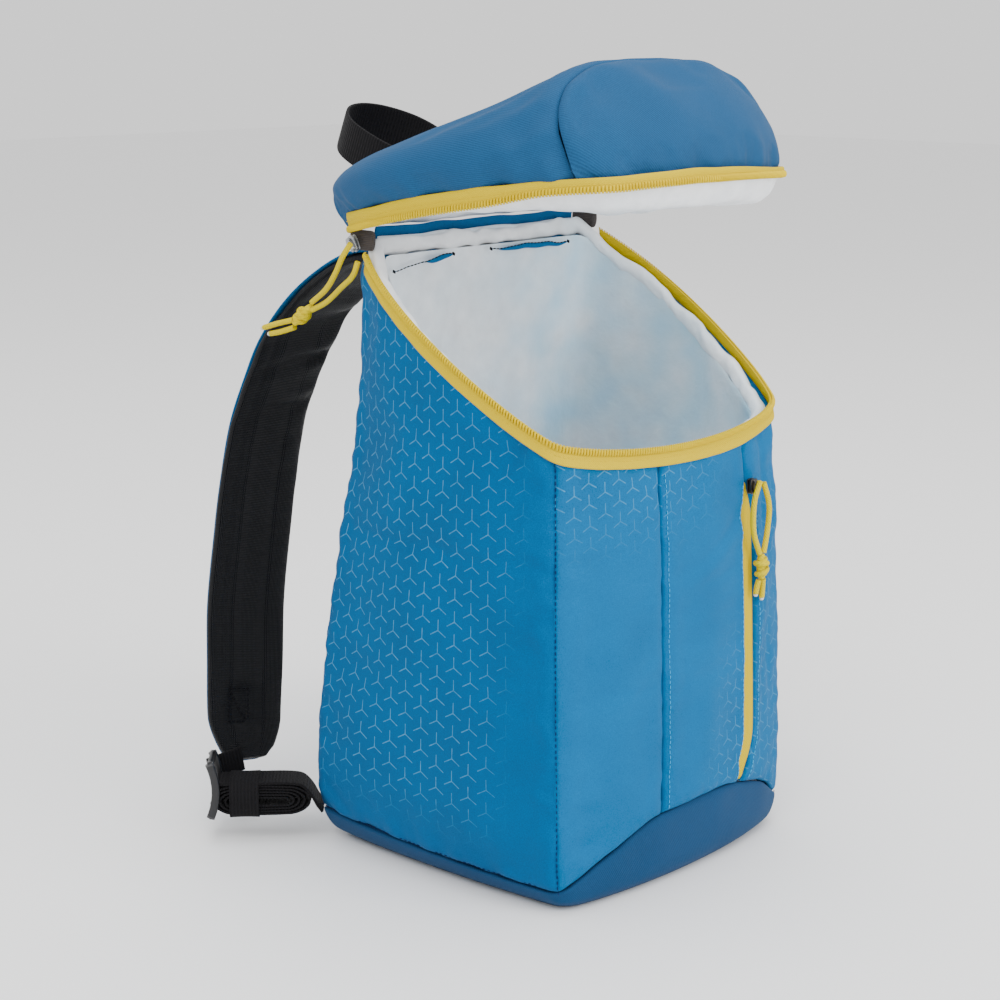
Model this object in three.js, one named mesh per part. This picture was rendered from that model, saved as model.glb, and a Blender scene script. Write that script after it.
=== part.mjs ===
// Cooler backpack with its lid held open: a tapered soft box with a slanted mouth,
// a domed lid hinged at the back, a vertical front pocket zip and two shoulder straps.
// Millimetres, +Z up, the front faces -Y, the wearer's side faces +Y.
import * as THREE from 'three';

// Driving sizes
const HALF_WIDTH = 92;
const DEPTH = 140;
const HINGE_HEIGHT = 328;
const FRONT_HEIGHT = 236;
const GAP = 0.3;

// Walls
const WALL = 5;
const BASE_WALL = 4;
const LINING = 1.2;
const SLACK = 1;
const BASE_GAP = 1.6;
const HEM_DEPTH = 11;
const HEM_THICK = 2;
const HEM_DROP = 3;

// Zips
const TAPE_WIDTH = 9;
const LID_TAPE_WIDTH = 8;
const TAPE_THICK = 1.3;
const TAPE_SEAT = 0.8;
const TEETH_WIDTH = 3;
const ZIP_START = 0.07; // share of each side that the mouth's zip leaves free at the back
const TEETH_HEIGHT = 2;
const SLIDER_LENGTH = 8;
const SLIDER_WIDTH = 6;
const SLIDER_HEIGHT = 4.5;
const SLIDER_EYE = 3.4;
const SLIDER_SEAT = 2.2;

// Front panel seams, as shares of the way from the left to the right front seam
const CENTRE_SEAM = 0.36;
const POCKET_LINE = 0.77;
const POCKET_SLOT = 6.4;
const POCKET_END = 0.875;

// Lid
const LID_HEIGHT = 62;
const LID_OPENING = 45;
const LID_WALL = 5;
const LID_FRONT_BULGE = 7;
const LID_LINING = 2;
const LID_SIDE_BULGE = 6;
const LID_TAPER = 0.19;
const LID_FRONT_DROP = 8; // how far the zip line dips below its plane at the front
const LID_SETBACK = 10;
const LID_LIFT = 3;

// Webbing, handle and straps
const HANDLE_WEB = 22;
const HANDLE_THICK = 2.4;
const HANDLE_SPAN = 44;
const HANDLE_REACH = 56;
const HANDLE_RISE = 38;
const STRAP_WIDTH = 54;
const STRAP_PAD = 6;
const STRAP_TOP = 1.6;
const WEB_WIDTH = 20;
const WEB_THICK = 1.6;
const LOCK_HEIGHT = 31;
const LOCK_DEPTH = 24;
const LOCK_THICK = 8;
const LOCK_BAR = 5;
const LOCK_SLOT = 3.4;
const ROLL_LENGTH = 44;
const ROLL_HEIGHT = 17;
const ROLL_EYE = 4;
const ROLL_DROP = 6.5; // how far the roll's middle lies under the buckle's
const KEEPER_SHIFT = 9;
const KEEPER_LENGTH = 16;
const KEEPER_THICK = 1.2;
const HANDLE_RIB = 0.22;
const HANDLE_SEAT = 1.4;
const LOOP_WIDTH = 14;
const LOOP_SEAT = 1.5;
const SLIDER_SHARE = 0.035;
const HINGE_THICK = 2;
const TAB_START = 0.012;
const TAB_INSET = 0.8;
const TAB_THICK = 1.6;

// Zip pull cords
const CORD = 3;
const KNOT_WIDTH = 9;

const STEPS = { across: 8, piece: 4, up: 8, zip: 11, lid: 14, strap: 20, cord: 8 };

// Body sections from the floor to the hinge. height is a share of HINGE_HEIGHT; back,
// side and front are half widths as shares of HALF_WIDTH; rear and face are the back and
// front seam places as shares of DEPTH; the bulges are shares of DEPTH too.
const SECTIONS = [
  { height: 0.000, back: 0.93, rear: 0.13, side_bulge: 0.030, front: 0.89, face: 0.985, face_bulge: 0.075 },
  { height: 0.016, back: 1.00, rear: 0.17, side_bulge: 0.035, front: 0.96, face: 1.010, face_bulge: 0.085 },
  { height: 0.044, back: 1.04, rear: 0.195, side_bulge: 0.045, front: 1.00, face: 1.015, face_bulge: 0.095 },
  { height: 0.122, back: 1.07, rear: 0.21, side_bulge: 0.060, front: 1.01, face: 1.015, face_bulge: 0.105 },
  { height: 0.335, back: 1.05, rear: 0.16, side_bulge: 0.075, front: 1.00, face: 1.00, face_bulge: 0.115 },
  { height: 0.550, back: 1.00, rear: 0.09, side_bulge: 0.090, front: 0.98, face: 0.985, face_bulge: 0.11 },
  { height: 0.720, back: 0.96, rear: 0.03, side_bulge: 0.115, front: 0.95, face: 0.965, face_bulge: 0.10 },
  { height: 1.000, back: 0.91, rear: 0.00, side_bulge: 0.145, front: 0.93, face: 0.96, face_bulge: 0.10 },
];

// Height of the seam between the walls and the dark base, as shares of HINGE_HEIGHT.
const BASE_SEAM = {
  side: [{ at: 0, height: 0.050 }, { at: 1, height: 0.034 }],
  back: [{ at: 0, height: 0.050 }, { at: 1, height: 0.050 }],
  front: [
    { at: 0.00, height: 0.034 },
    { at: 0.15, height: 0.076 },
    { at: 0.35, height: 0.118 },
    { at: 0.60, height: 0.124 },
    { at: 0.85, height: 0.098 },
    { at: 1.00, height: 0.050 },
  ],
};

// Lid ribs from the hinge to the front. rim and crown are places along the lid as shares
// of its rim length; height is a share of LID_HEIGHT; foot is how much of the zip tape the
// rib stands on; square rounds the rib's shoulders; puff is a share of LID_SIDE_BULGE.
const LID_RIBS = [
  { rim: 0.000, crown: -0.02, height: 0.085, foot: 0.0, square: 0.55, puff: 0.0 },
  { rim: 0.015, crown: -0.10, height: 0.36, foot: 0.5, square: 0.50, puff: 0.1 },
  { rim: 0.060, crown: -0.06, height: 0.54, foot: 1.0, square: 0.50, puff: 0.3 },
  { rim: 0.150, crown: 0.05, height: 0.63, foot: 1.0, square: 0.50, puff: 0.7 },
  { rim: 0.300, crown: 0.22, height: 0.69, foot: 1.0, square: 0.50, puff: 1.0 },
  { rim: 0.500, crown: 0.44, height: 0.77, foot: 1.0, square: 0.52, puff: 1.0 },
  { rim: 0.750, crown: 0.69, height: 0.89, foot: 1.0, square: 0.56, puff: 0.9 },
  { rim: 0.945, crown: 0.88, height: 1.00, foot: 1.0, square: 0.62, puff: 0.8 },
];

// How far below (-) or above the rim plane the lid's lining lies, as a share of
// LID_HEIGHT, from the rim (at 0) to the middle (at 1).
const LID_LINING_DEPTH = [
  { at: 0.00, back: 0.02, front: 0.02 },
  { at: 0.10, back: 0.06, front: -0.12 },
  { at: 0.30, back: 0.16, front: -0.12 },
  { at: 0.60, back: 0.22, front: 0.02 },
  { at: 1.00, back: 0.22, front: 0.22 },
];

// Middle line of the left shoulder strap, from the back panel's top to the free end.
// out is a share of HALF_WIDTH, away a share of DEPTH, height a share of HINGE_HEIGHT and
// width a share of STRAP_WIDTH.
const STRAP_LINE = [
  { out: 0.50, away: 0.040, height: 0.955, width: 0.90 },
  { out: 0.51, away: 0.170, height: 0.950, width: 0.94 },
  { out: 0.54, away: 0.425, height: 0.885, width: 1.00 },
  { out: 0.59, away: 0.585, height: 0.805, width: 1.00 },
  { out: 0.65, away: 0.650, height: 0.735, width: 1.00 },
  { out: 0.71, away: 0.695, height: 0.660, width: 1.00 },
  { out: 0.79, away: 0.705, height: 0.555, width: 1.00 },
  { out: 0.86, away: 0.692, height: 0.475, width: 1.00 },
  { out: 0.96, away: 0.665, height: 0.360, width: 1.00 },
  { out: 1.03, away: 0.625, height: 0.266, width: 0.98 },
  { out: 1.12, away: 0.570, height: 0.172, width: 0.92 },
  { out: 1.16, away: 0.530, height: 0.128, width: 0.66 },
  { out: 1.17, away: 0.510, height: 0.112, width: 0.40 },
];

// Where the left buckle hangs, in the same shares.
const LOCK_PLACE = { out: 1.505, away: 0.492, height: 0.090 };

// How the lower webbing rises from the back seam onto the roll: at is a share of
// ROLL_LENGTH from the seam, drop a share of ROLL_HEIGHT below its level stretch.
const WEB_DROP = [
  { at: 0.018, drop: 0.62 },
  { at: 0.055, drop: 0.46 },
  { at: 0.095, drop: 0.26 },
  { at: 0.180, drop: 0.06 },
  { at: 0.280, drop: 0.00 },
];

// Chosen routes of the zip pull cords, in millimetres.
const MAIN_CORD = {
  upper: [
    [-98.2, -4.5, 327], [-98, 1.4, 320.4], [-97.5, 7.6, 311.3], [-96, 16.5, 302.2], [-93.9, 30.2, 293.8],
  ],
  lower: [
    [-96, -7.5, 318], [-96.5, -4.5, 311], [-95.5, 5.4, 304], [-94, 18.8, 295], [-93.2, 30.9, 289.7],
  ],
  upper_tail: [[-90.5, 48.5, 282.5], [-89.5, 63, 279], [-88.5, 76, 275.4]],
  lower_tail: [[-91, 47.4, 278.7], [-90, 60, 275], [-89, 70, 272.8]],
  knot: [[-93.5, 31.5, 291.5], [-90.8, 47.5, 280.8]],
};
const POCKET_CORD = {
  left: [[51, -155.6, 202.5], [46, -156, 192.7], [46.6, -155.5, 176], [51.6, -156, 163.2]],
  right: [[54.6, -155.3, 201], [59.5, -155.6, 188], [58.5, -155.5, 174], [55.1, -156, 163.2]],
  left_tail: [[51.9, -155.8, 148.9], [51.4, -155, 145], [51.2, -154.5, 141]],
  right_tail: [[55.6, -155.8, 148.9], [56.4, -155, 144], [56.6, -154.5, 138]],
  knot: [[53.3, -156, 162.9], [53.8, -156, 149.3]],
};

const COLOURS = {
  blue: 0x0a8fd2,
  navy: 0x2a5f8c,
  yellow: 0xf7e017,
  mesh: 0x0c0d12,
  webbing: 0x3a3638,
  lining: 0xe4e6ea,
  plastic: 0x121214,
  metal: 0x9a9a98,
};

const RIM_SLOPE = (HINGE_HEIGHT - FRONT_HEIGHT) / DEPTH;
const RIM_TILT = Math.atan(RIM_SLOPE);

const mix = (a, b, share) => a + (b - a) * share;
const vec = (x, y, z) => new THREE.Vector3(x, y, z);
const range = (count) => Array.from({ length: count + 1 }, (_, i) => i / count);

/** Row of a table at a share of its key column, with every other column in between. */
function rowAt(table, key, share) {
  let i = 1;
  while (i < table.length - 1 && table[i][key] < share) i += 1;
  const [a, b] = [table[i - 1], table[i]];
  const t = THREE.MathUtils.clamp((share - a[key]) / (b[key] - a[key]), 0, 1);
  const row = {};
  for (const name of Object.keys(a)) row[name] = mix(a[name], b[name], t);
  return row;
}

/** How far a panel stands out between its two seams: 0 at the seams, 1 in the middle. */
const swell = (share) => Math.pow(Math.max(4 * share * (1 - share), 0), 0.75);

/** Plan point of a panel ('left', 'front', 'right' or 'back') at a share between its seams. */
function planPoint(panel, share, height, inset) {
  const row = rowAt(SECTIONS, 'height', height / HINGE_HEIGHT);
  const back = [row.back * HALF_WIDTH - inset, row.rear * DEPTH - inset];
  const front = [row.front * HALF_WIDTH - inset, -row.face * DEPTH + inset];
  const side = row.side_bulge * DEPTH * swell(share);
  if (panel === 'left') return [-mix(back[0], front[0], share) - side, mix(back[1], front[1], share)];
  if (panel === 'right') return [mix(front[0], back[0], share) + side, mix(front[1], back[1], share)];
  if (panel === 'back') return [mix(back[0], -back[0], share), back[1]];
  return [mix(-front[0], front[0], share), front[1] - row.face_bulge * DEPTH * swell(share)];
}

/** Height of the mouth's rim over a plan depth. */
const rimOver = (y) => HINGE_HEIGHT + Math.min(y, 0) * RIM_SLOPE;

/** Height of the mouth's rim at a place on a panel. */
function rimAt(panel, share) {
  let height = HINGE_HEIGHT;
  for (let pass = 0; pass < 6; pass += 1) height = rimOver(planPoint(panel, share, height, 0)[1]);
  return height;
}

/** Height of the base seam at a place on a panel. */
function baseSeamAt(panel, share) {
  const table = panel === 'front' ? BASE_SEAM.front : BASE_SEAM[panel === 'back' ? 'back' : 'side'];
  const along = panel === 'right' ? 1 - share : share;
  const right = panel === 'right' ? BASE_SEAM.front[BASE_SEAM.front.length - 1].height - table[1].height : 0;
  return (rowAt(table, 'at', along).height + right * along) * HINGE_HEIGHT;
}

/** Point on a wall at a height, moved in by an inset. */
function wallPoint(panel, share, height, inset) {
  const [x, y] = planPoint(panel, share, height, inset);
  return vec(x, y, height);
}

/** Signed volume of an indexed triangle list. */
function volume(points, faces) {
  let sum = 0;
  for (const [a, b, c] of faces) sum += points[a].dot(points[b].clone().cross(points[c]));
  return sum / 6;
}

/** Closed geometry from points and triangles, turned to face out. */
function solid(points, faces) {
  const turned = volume(points, faces) < 0 ? faces.map(([a, b, c]) => [a, c, b]) : faces;
  const geometry = new THREE.BufferGeometry();
  geometry.setAttribute('position', new THREE.Float32BufferAttribute(points.flatMap((p) => p.toArray()), 3));
  geometry.setIndex(turned.flat());
  geometry.computeVertexNormals();
  return geometry;
}

/** Two triangles of a four-cornered face. */
const quad = (a, b, c, d) => [[a, b, c], [a, c, d]];

/** Closed sheet between an outer and an inner grid of rows; loop joins each row's ends. */
function sheet(outer, inner, loop = false) {
  const [rows, columns] = [outer.length, outer[0].length];
  const points = [...outer.flat(), ...inner.flat()];
  const out = (r, c) => r * columns + (c % columns);
  const ins = (r, c) => rows * columns + out(r, c);
  const last = loop ? columns : columns - 1;
  const faces = [];
  for (let r = 0; r < rows - 1; r += 1) {
    for (let c = 0; c < last; c += 1) {
      faces.push(...quad(out(r, c), out(r, c + 1), out(r + 1, c + 1), out(r + 1, c)));
      faces.push(...quad(ins(r, c), ins(r + 1, c), ins(r + 1, c + 1), ins(r, c + 1)));
    }
  }
  for (let c = 0; c < last; c += 1) {
    faces.push(...quad(out(0, c), ins(0, c), ins(0, c + 1), out(0, c + 1)));
    faces.push(...quad(out(rows - 1, c), out(rows - 1, c + 1), ins(rows - 1, c + 1), ins(rows - 1, c)));
  }
  if (!loop) {
    for (let r = 0; r < rows - 1; r += 1) {
      faces.push(...quad(out(r, 0), out(r + 1, 0), ins(r + 1, 0), ins(r, 0)));
      faces.push(...quad(out(r, last), ins(r, last), ins(r + 1, last), out(r + 1, last)));
    }
  }
  return solid(points, faces);
}

/** Closed dish from loops that run from its edge to its middle, outside and inside. */
function dish(outer, inner) {
  const columns = outer[0].length;
  const points = [...outer.flat(), ...inner.flat()];
  const rows = outer.length;
  const at = (side, r, c) => (side * rows + r) * columns + (c % columns);
  const faces = [];
  for (let c = 0; c < columns; c += 1) {
    for (let r = 0; r < rows - 1; r += 1) {
      faces.push(...quad(at(0, r, c), at(0, r, c + 1), at(0, r + 1, c + 1), at(0, r + 1, c)));
      faces.push(...quad(at(1, r, c), at(1, r + 1, c), at(1, r + 1, c + 1), at(1, r, c + 1)));
    }
    faces.push(...quad(at(0, 0, c), at(1, 0, c), at(1, 0, c + 1), at(0, 0, c + 1)));
  }
  for (const side of [0, 1]) {
    const loop = side === 0 ? outer[rows - 1] : inner[rows - 1];
    const middle = loop.reduce((sum, p) => sum.add(p), vec(0, 0, 0)).divideScalar(columns);
    const tip = points.push(middle) - 1;
    for (let c = 0; c < columns; c += 1) {
      const [a, b] = [at(side, rows - 1, c), at(side, rows - 1, c + 1)];
      faces.push(side === 0 ? [a, b, tip] : [b, a, tip]);
    }
  }
  return solid(points, faces);
}

/** Solid swept through stations, each a closed ring of points. */
function sweep(rings) {
  const columns = rings[0].length;
  const points = rings.flat();
  const faces = [];
  for (let r = 0; r < rings.length - 1; r += 1) {
    for (let c = 0; c < columns; c += 1) {
      const [a, b] = [r * columns + c, r * columns + ((c + 1) % columns)];
      faces.push(...quad(a, b, b + columns, a + columns));
    }
  }
  for (let c = 1; c < columns - 1; c += 1) {
    faces.push([0, c + 1, c]);
    const end = (rings.length - 1) * columns;
    faces.push([end, end + c, end + c + 1]);
  }
  return solid(points, faces);
}

/** Group of named meshes, and the way to add one. */
const bag = new THREE.Group();
const lid = new THREE.Group();
const body = new THREE.Group();
bag.add(body, lid);

/** Adds a named mesh of its own material to a group. */
function add(group, name, geometry, colour, roughness = 0.85, metalness = 0) {
  const material = new THREE.MeshStandardMaterial({ color: colour, roughness, metalness });
  const mesh = new THREE.Mesh(geometry, material);
  mesh.name = name;
  group.add(mesh);
  return mesh;
}

/** Heights of a wall's rows at a place, from the base seam to the rim. */
const wallRow = (panel, share, up, top = 0) =>
  mix(baseSeamAt(panel, share) + BASE_GAP / 2, rimAt(panel, share) - top, up);

/** Wall panel between two edges, each a function of height, from the base seam to the rim. */
function wallPanel(panel, from, to, across = STEPS.across) {
  const grid = (inset) => range(STEPS.up).map((up) => range(across).map((t) => {
    const guess = mix(from(FRONT_HEIGHT, 0), to(FRONT_HEIGHT, 0), t);
    const height = wallRow(panel, guess, up);
    return wallPoint(panel, mix(from(height, up), to(height, up), t), height, inset);
  }));
  return sheet(grid(0), grid(WALL));
}

/** Distance between a panel's seams at a height. */
function seamSpan(panel, height) {
  const [a, b] = [planPoint(panel, 0, height, 0), planPoint(panel, 1, height, 0)];
  return Math.hypot(a[0] - b[0], a[1] - b[1]);
}

/** Share of a panel's span that a length takes at a height. */
const shareOf = (length, panel, height = FRONT_HEIGHT) => length / seamSpan(panel, height);

/** Edge of a panel that keeps a clearance from a seam line at a share. */
const edge = (panel, share, side) => (height) => share + side * shareOf(GAP, panel, height) / 2;

/** Width of the pocket's slot at a share of the wall's height: it closes at its ends. */
function slotWidth(up) {
  const step = 1 / STEPS.up;
  const open = Math.min(0.4 + up / step, (POCKET_END - up) / step);
  return mix(GAP, POCKET_SLOT, THREE.MathUtils.clamp(open, 0, 1));
}

/** Edge of a front panel beside the pocket's slot. */
const pocketEdge = (side) => (height, up) =>
  POCKET_LINE + side * shareOf(slotWidth(up), 'front', height) / 2;

/** Stations around the body: every panel in turn, or only the three that the zip follows. */
function stations(panels, perPanel = STEPS.across, start = 0) {
  const list = [];
  panels.forEach((panel, i) => {
    const first = i === 0 ? start : 0;
    const final = i === panels.length - 1 && start > 0 ? 1 - start : 1;
    for (const t of range(perPanel)) {
      const repeat = i > 0 && t === 0;
      if (!repeat) list.push({ panel, share: mix(first, final, t) });
    }
  });
  return list;
}

const LOOP = stations(['left', 'front', 'right', 'back']).slice(0, -1);
const ZIP_PATH = stations(['left', 'front', 'right'], STEPS.zip, ZIP_START);

/** Loop of points around the body at heights given by a function, moved in by an inset. */
const bodyLoop = (heightAt, inset) => LOOP.map(({ panel, share }) =>
  wallPoint(panel, share, heightAt(panel, share), inset));

/** Band that follows the mouth: heights measured from the rim, depths as insets. */
function rimBand(path, low, high, outside, inside, loop = false) {
  const row = (offset, inset) => path.map(({ panel, share }) =>
    wallPoint(panel, share, rimAt(panel, share) + offset, inset));
  return sheet([row(low, outside), row(high, outside)], [row(low, inside), row(high, inside)], loop);
}

// Walls
add(body, 'side_panel_left', wallPanel('left', edge('left', 0, 1), edge('left', 1, -1)), COLOURS.blue);
add(body, 'side_panel_right', wallPanel('right', edge('right', 0, 1), edge('right', 1, -1)), COLOURS.blue);
add(body, 'back_panel', wallPanel('back', edge('back', 0, 1), edge('back', 1, -1)), COLOURS.blue);
add(
  body,
  'front_panel_left',
  wallPanel('front', edge('front', 0, 1), edge('front', CENTRE_SEAM, -1), STEPS.piece),
  COLOURS.blue,
);
add(
  body,
  'front_panel_middle',
  wallPanel('front', edge('front', CENTRE_SEAM, 1), pocketEdge(-1), STEPS.piece),
  COLOURS.blue,
);
add(
  body,
  'front_panel_right',
  wallPanel('front', pocketEdge(1), edge('front', 1, -1), STEPS.piece),
  COLOURS.blue,
);

// Dark base: a shallow cup under the walls, flat underneath
const baseRows = [1, 0.62, 0.3, 0.12, 0];
const baseOuter = baseRows.map((up) => bodyLoop(
  (panel, share) => (baseSeamAt(panel, share) - BASE_GAP / 2) * up,
  0,
));
const baseInner = baseRows.map((up) => bodyLoop(
  (panel, share) => mix(BASE_WALL, baseSeamAt(panel, share) - BASE_GAP / 2, up),
  BASE_WALL,
));
add(body, 'base_panel', dish(baseOuter, baseInner), COLOURS.navy);

// Lining: a loose cup inside the walls
const liningLoops = (inset, floor) => [
  ...range(STEPS.up).reverse().map((up) => bodyLoop((panel, share) =>
    wallRow(panel, share, up, HEM_DROP * up), inset)),
  ...baseRows.slice(1).map((up) => bodyLoop((panel, share) =>
    mix(floor, baseSeamAt(panel, share), up), inset)),
];
const liningInset = WALL + SLACK;
const liningFloor = BASE_WALL + GAP;
add(
  body,
  'lining',
  dish(liningLoops(liningInset, liningFloor), liningLoops(liningInset + LINING, liningFloor + LINING)),
  COLOURS.lining,
  0.55,
);

// Folded hem of the lining, inside the mouth
const hemInset = liningInset + LINING + GAP;
add(
  body,
  'rim_hem',
  rimBand(LOOP, -HEM_DROP - HEM_DEPTH, -HEM_DROP + 1, hemInset, hemInset + HEM_THICK, true),
  COLOURS.lining,
  0.55,
);

// Zip around the mouth
add(
  body,
  'body_zip_tape',
  rimBand(ZIP_PATH, -TAPE_WIDTH, 0, -TAPE_SEAT - TAPE_THICK, -TAPE_SEAT),
  COLOURS.yellow,
);
add(
  body,
  'body_zip_teeth',
  rimBand(ZIP_PATH, GAP, GAP + TEETH_HEIGHT, -TEETH_WIDTH / 2, TEETH_WIDTH / 2),
  COLOURS.yellow,
  0.5,
);

/** Band along the pocket line, narrower than its slot by a margin on both sides. */
function pocketBand(width, outside, inside) {
  const ups = [0.02, ...range(STEPS.up).filter((up) => up > 0.02 && up < POCKET_END), POCKET_END - 0.02];
  const grid = (inset) => ups.map((up) => [-0.5, 0.5].map((side) => {
    const height = wallRow('front', POCKET_LINE, up);
    const share = shareOf(Math.min(width, slotWidth(up) - 2 * GAP), 'front', height);
    return wallPoint('front', POCKET_LINE + side * share, height, inset);
  }));
  return sheet(grid(outside), grid(inside));
}

// Pocket zip in its slot
add(body, 'pocket_zip_tape', pocketBand(POCKET_SLOT, TAPE_THICK, 2 * TAPE_THICK), COLOURS.yellow);
add(body, 'pocket_zip_teeth', pocketBand(TEETH_WIDTH, -GAP, TAPE_THICK - GAP), COLOURS.yellow, 0.5);

/** Point on the lid in its own frame: `along` from the hinge, `around` from left to right. */
function lidPoint(along, around, inset) {
  const rib = lidRib(along);
  const angle = Math.PI * around;
  const lift = Math.pow(Math.max(Math.sin(angle), 0), rib.square);
  const out = Math.sign(Math.cos(angle)) * Math.pow(Math.abs(Math.cos(angle)), rib.square);
  const edgePoint = lidRimPoint('left', rib.rim, inset, rib.foot * (LID_TAPE_WIDTH + GAP));
  const puff = rib.puff * LID_SIDE_BULGE * 4 * lift * (1 - lift);
  const back = mix(rib.rim, rib.crown, lift) * rimLength();
  const pull = inset * (1 - 2 * along) * lift;
  const height = mix(edgePoint.z, rib.height * LID_HEIGHT - inset, lift);
  return vec((edgePoint.x - puff) * out, -back - pull, height);
}

/** Length of the mouth's side along its slope. */
const rimLength = () => (HINGE_HEIGHT - rimAt('left', 1)) / Math.sin(RIM_TILT);

/** Lid rib at a share of the way from the hinge to the front. */
function lidRib(along) {
  const table = LID_RIBS.map((rib, i) => ({ ...rib, at: i / (LID_RIBS.length - 1) }));
  return rowAt(table, 'at', along);
}

/** Point of the mouth's outline laid flat in the lid's own frame, narrowing to the front. */
function lidRimPoint(panel, share, inset, height) {
  const [x, y] = planPoint(panel, share, rimAt(panel, share), inset);
  const forward = THREE.MathUtils.clamp(-y / DEPTH, 0, 1);
  const level = height - LID_FRONT_DROP * forward ** 3;
  return vec(x * (1 - LID_TAPER * forward ** 2), y / Math.cos(RIM_TILT), level);
}

lid.position.set(0, LID_SETBACK, HINGE_HEIGHT + LID_LIFT);
lid.rotation.x = RIM_TILT - THREE.MathUtils.degToRad(LID_OPENING);
lid.updateMatrix();

// Lid: a saddle over the top and sides, closed by an arched front
const aroundLid = range(STEPS.lid);
const saddle = (inset) => range((LID_RIBS.length - 1) * 2).map((along) => aroundLid.map((around) =>
  lidPoint(along, around, inset)));
add(lid, 'lid_top_panel', sheet(saddle(0), saddle(LID_WALL)), COLOURS.navy);

/** Point on the lid's arched front, from the top of the zip tape up to the arch. */
function lidFrontPoint(around, up, depth) {
  const foot = lidRimPoint('front', around, LID_WALL, LID_TAPE_WIDTH + GAP);
  const point = foot.lerp(lidPoint(1, around, 0), up);
  point.y -= LID_FRONT_BULGE * 4 * up * (1 - up) * Math.sin(Math.PI * around) + GAP + depth;
  return point;
}

const aroundFront = range(STEPS.lid).map((t) => mix(0.06, 0.94, t));
const lidFront = (depth) => range(5).map((up) => aroundFront.map((around) =>
  lidFrontPoint(around, up, depth)));
add(lid, 'lid_front_panel', sheet(lidFront(LID_WALL), lidFront(0)), COLOURS.navy);

/** Band along the lid's rim, in the lid's own frame. */
function lidBand(low, high, outside, inside) {
  const row = (height, inset) => ZIP_PATH.map(({ panel, share }) =>
    lidRimPoint(panel, share, inset, height));
  return sheet([row(low, outside), row(high, outside)], [row(low, inside), row(high, inside)]);
}

add(lid, 'lid_zip_tape', lidBand(0, LID_TAPE_WIDTH, -TAPE_SEAT - TAPE_THICK, -TAPE_SEAT), COLOURS.yellow);
add(
  lid,
  'lid_zip_teeth',
  lidBand(-GAP - TEETH_HEIGHT, -GAP, -TEETH_WIDTH / 2, TEETH_WIDTH / 2),
  COLOURS.yellow,
  0.5,
);

/** Loop of the lid's lining at a share of the way from its edge to its middle. */
function lidLiningLoop(inward, drop) {
  const row = rowAt(LID_LINING_DEPTH, 'at', inward);
  const middle = vec(0, -rimLength() / 2, 0);
  return LOOP.map(({ panel, share }) => {
    const forward = THREE.MathUtils.clamp(-lidRimPoint(panel, share, 0, 0).y / rimLength(), 0, 1);
    const seat = Math.min(forward / (2 * ZIP_START), 1);
    const point = lidRimPoint(panel, share, mix(LID_WALL + GAP, 0, seat), 0);
    const height = mix(row.back, row.front, forward * forward) * LID_HEIGHT;
    const dip = point.z * (1 - inward);
    point.lerp(middle, inward * 0.92);
    point.z = (inward > 0 ? height : mix(height, LID_TAPE_WIDTH, seat)) + dip - drop;
    return point;
  });
}

const lidLining = (drop) => LID_LINING_DEPTH.map(({ at }) => lidLiningLoop(at, drop));
add(lid, 'lid_lining', dish(lidLining(0), lidLining(LID_LINING)), COLOURS.lining, 0.55);

// Cloth hinge between the back panel and the lid
const hingeShares = range(STEPS.across).map((t) => mix(0.02, 0.98, t));
const hingeRow = (offset) => {
  const low = hingeShares.map((t) => wallPoint('back', t, HINGE_HEIGHT, HINGE_THICK)
    .add(vec(0, offset, GAP)));
  const high = hingeShares.map((t) => lidRimPoint('back', t, HINGE_THICK, -GAP)
    .applyMatrix4(lid.matrix).add(vec(0, offset, 0)));
  const middle = low.map((p, i) => p.clone().lerp(high[i], 0.5).add(vec(0, HINGE_THICK / 2, 0)));
  return [low, middle, high];
};
add(body, 'lid_hinge', sheet(hingeRow(HINGE_THICK), hingeRow(0)), COLOURS.lining, 0.6);

// Tabs that join the zip's two tapes beside the hinge
for (const [name, panel] of [['left', 'left'], ['right', 'right']]) {
  const shares = [TAB_START, ZIP_START - 2 * shareOf(GAP, 'left')].map((t) => (panel === 'left' ? t : 1 - t));
  const grid = (inset) => [
    shares.map((t) => wallPoint(panel, t, rimAt(panel, t) + GAP, inset)),
    shares.map((t) => lidRimPoint(panel, t, inset, -GAP).applyMatrix4(lid.matrix)),
  ];
  add(body, `zip_end_tab_${name}`, sheet(grid(TAB_INSET), grid(TAB_INSET + TAB_THICK)), COLOURS.webbing);
}

/** Closed ring of a flat strip's section: width across, thickness out. */
function stripRing(centre, across, out, width, thick, round = 0) {
  const corners = round > 0
    ? [
      [-0.5, 0.3], [-0.42, 0.5], [0.42, 0.5], [0.5, 0.3],
      [0.5, -0.3], [0.42, -0.5], [-0.42, -0.5], [-0.5, -0.3],
    ]
    : [[-0.5, 0.5], [0.5, 0.5], [0.5, -0.5], [-0.5, -0.5]];
  return corners.map(([a, b]) => centre.clone().addScaledVector(across, a * width)
    .addScaledVector(out, b * thick));
}

/** Strip of webbing along points, its width along a fixed direction. */
function webbing(points, widthAxis, width, thick) {
  const rings = points.map((point, i) => {
    const ahead = points[Math.min(i + 1, points.length - 1)];
    const behind = points[Math.max(i - 1, 0)];
    const out = ahead.clone().sub(behind).normalize().cross(widthAxis).normalize();
    return stripRing(point, widthAxis, out, width, thick);
  });
  return sweep(rings);
}

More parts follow.
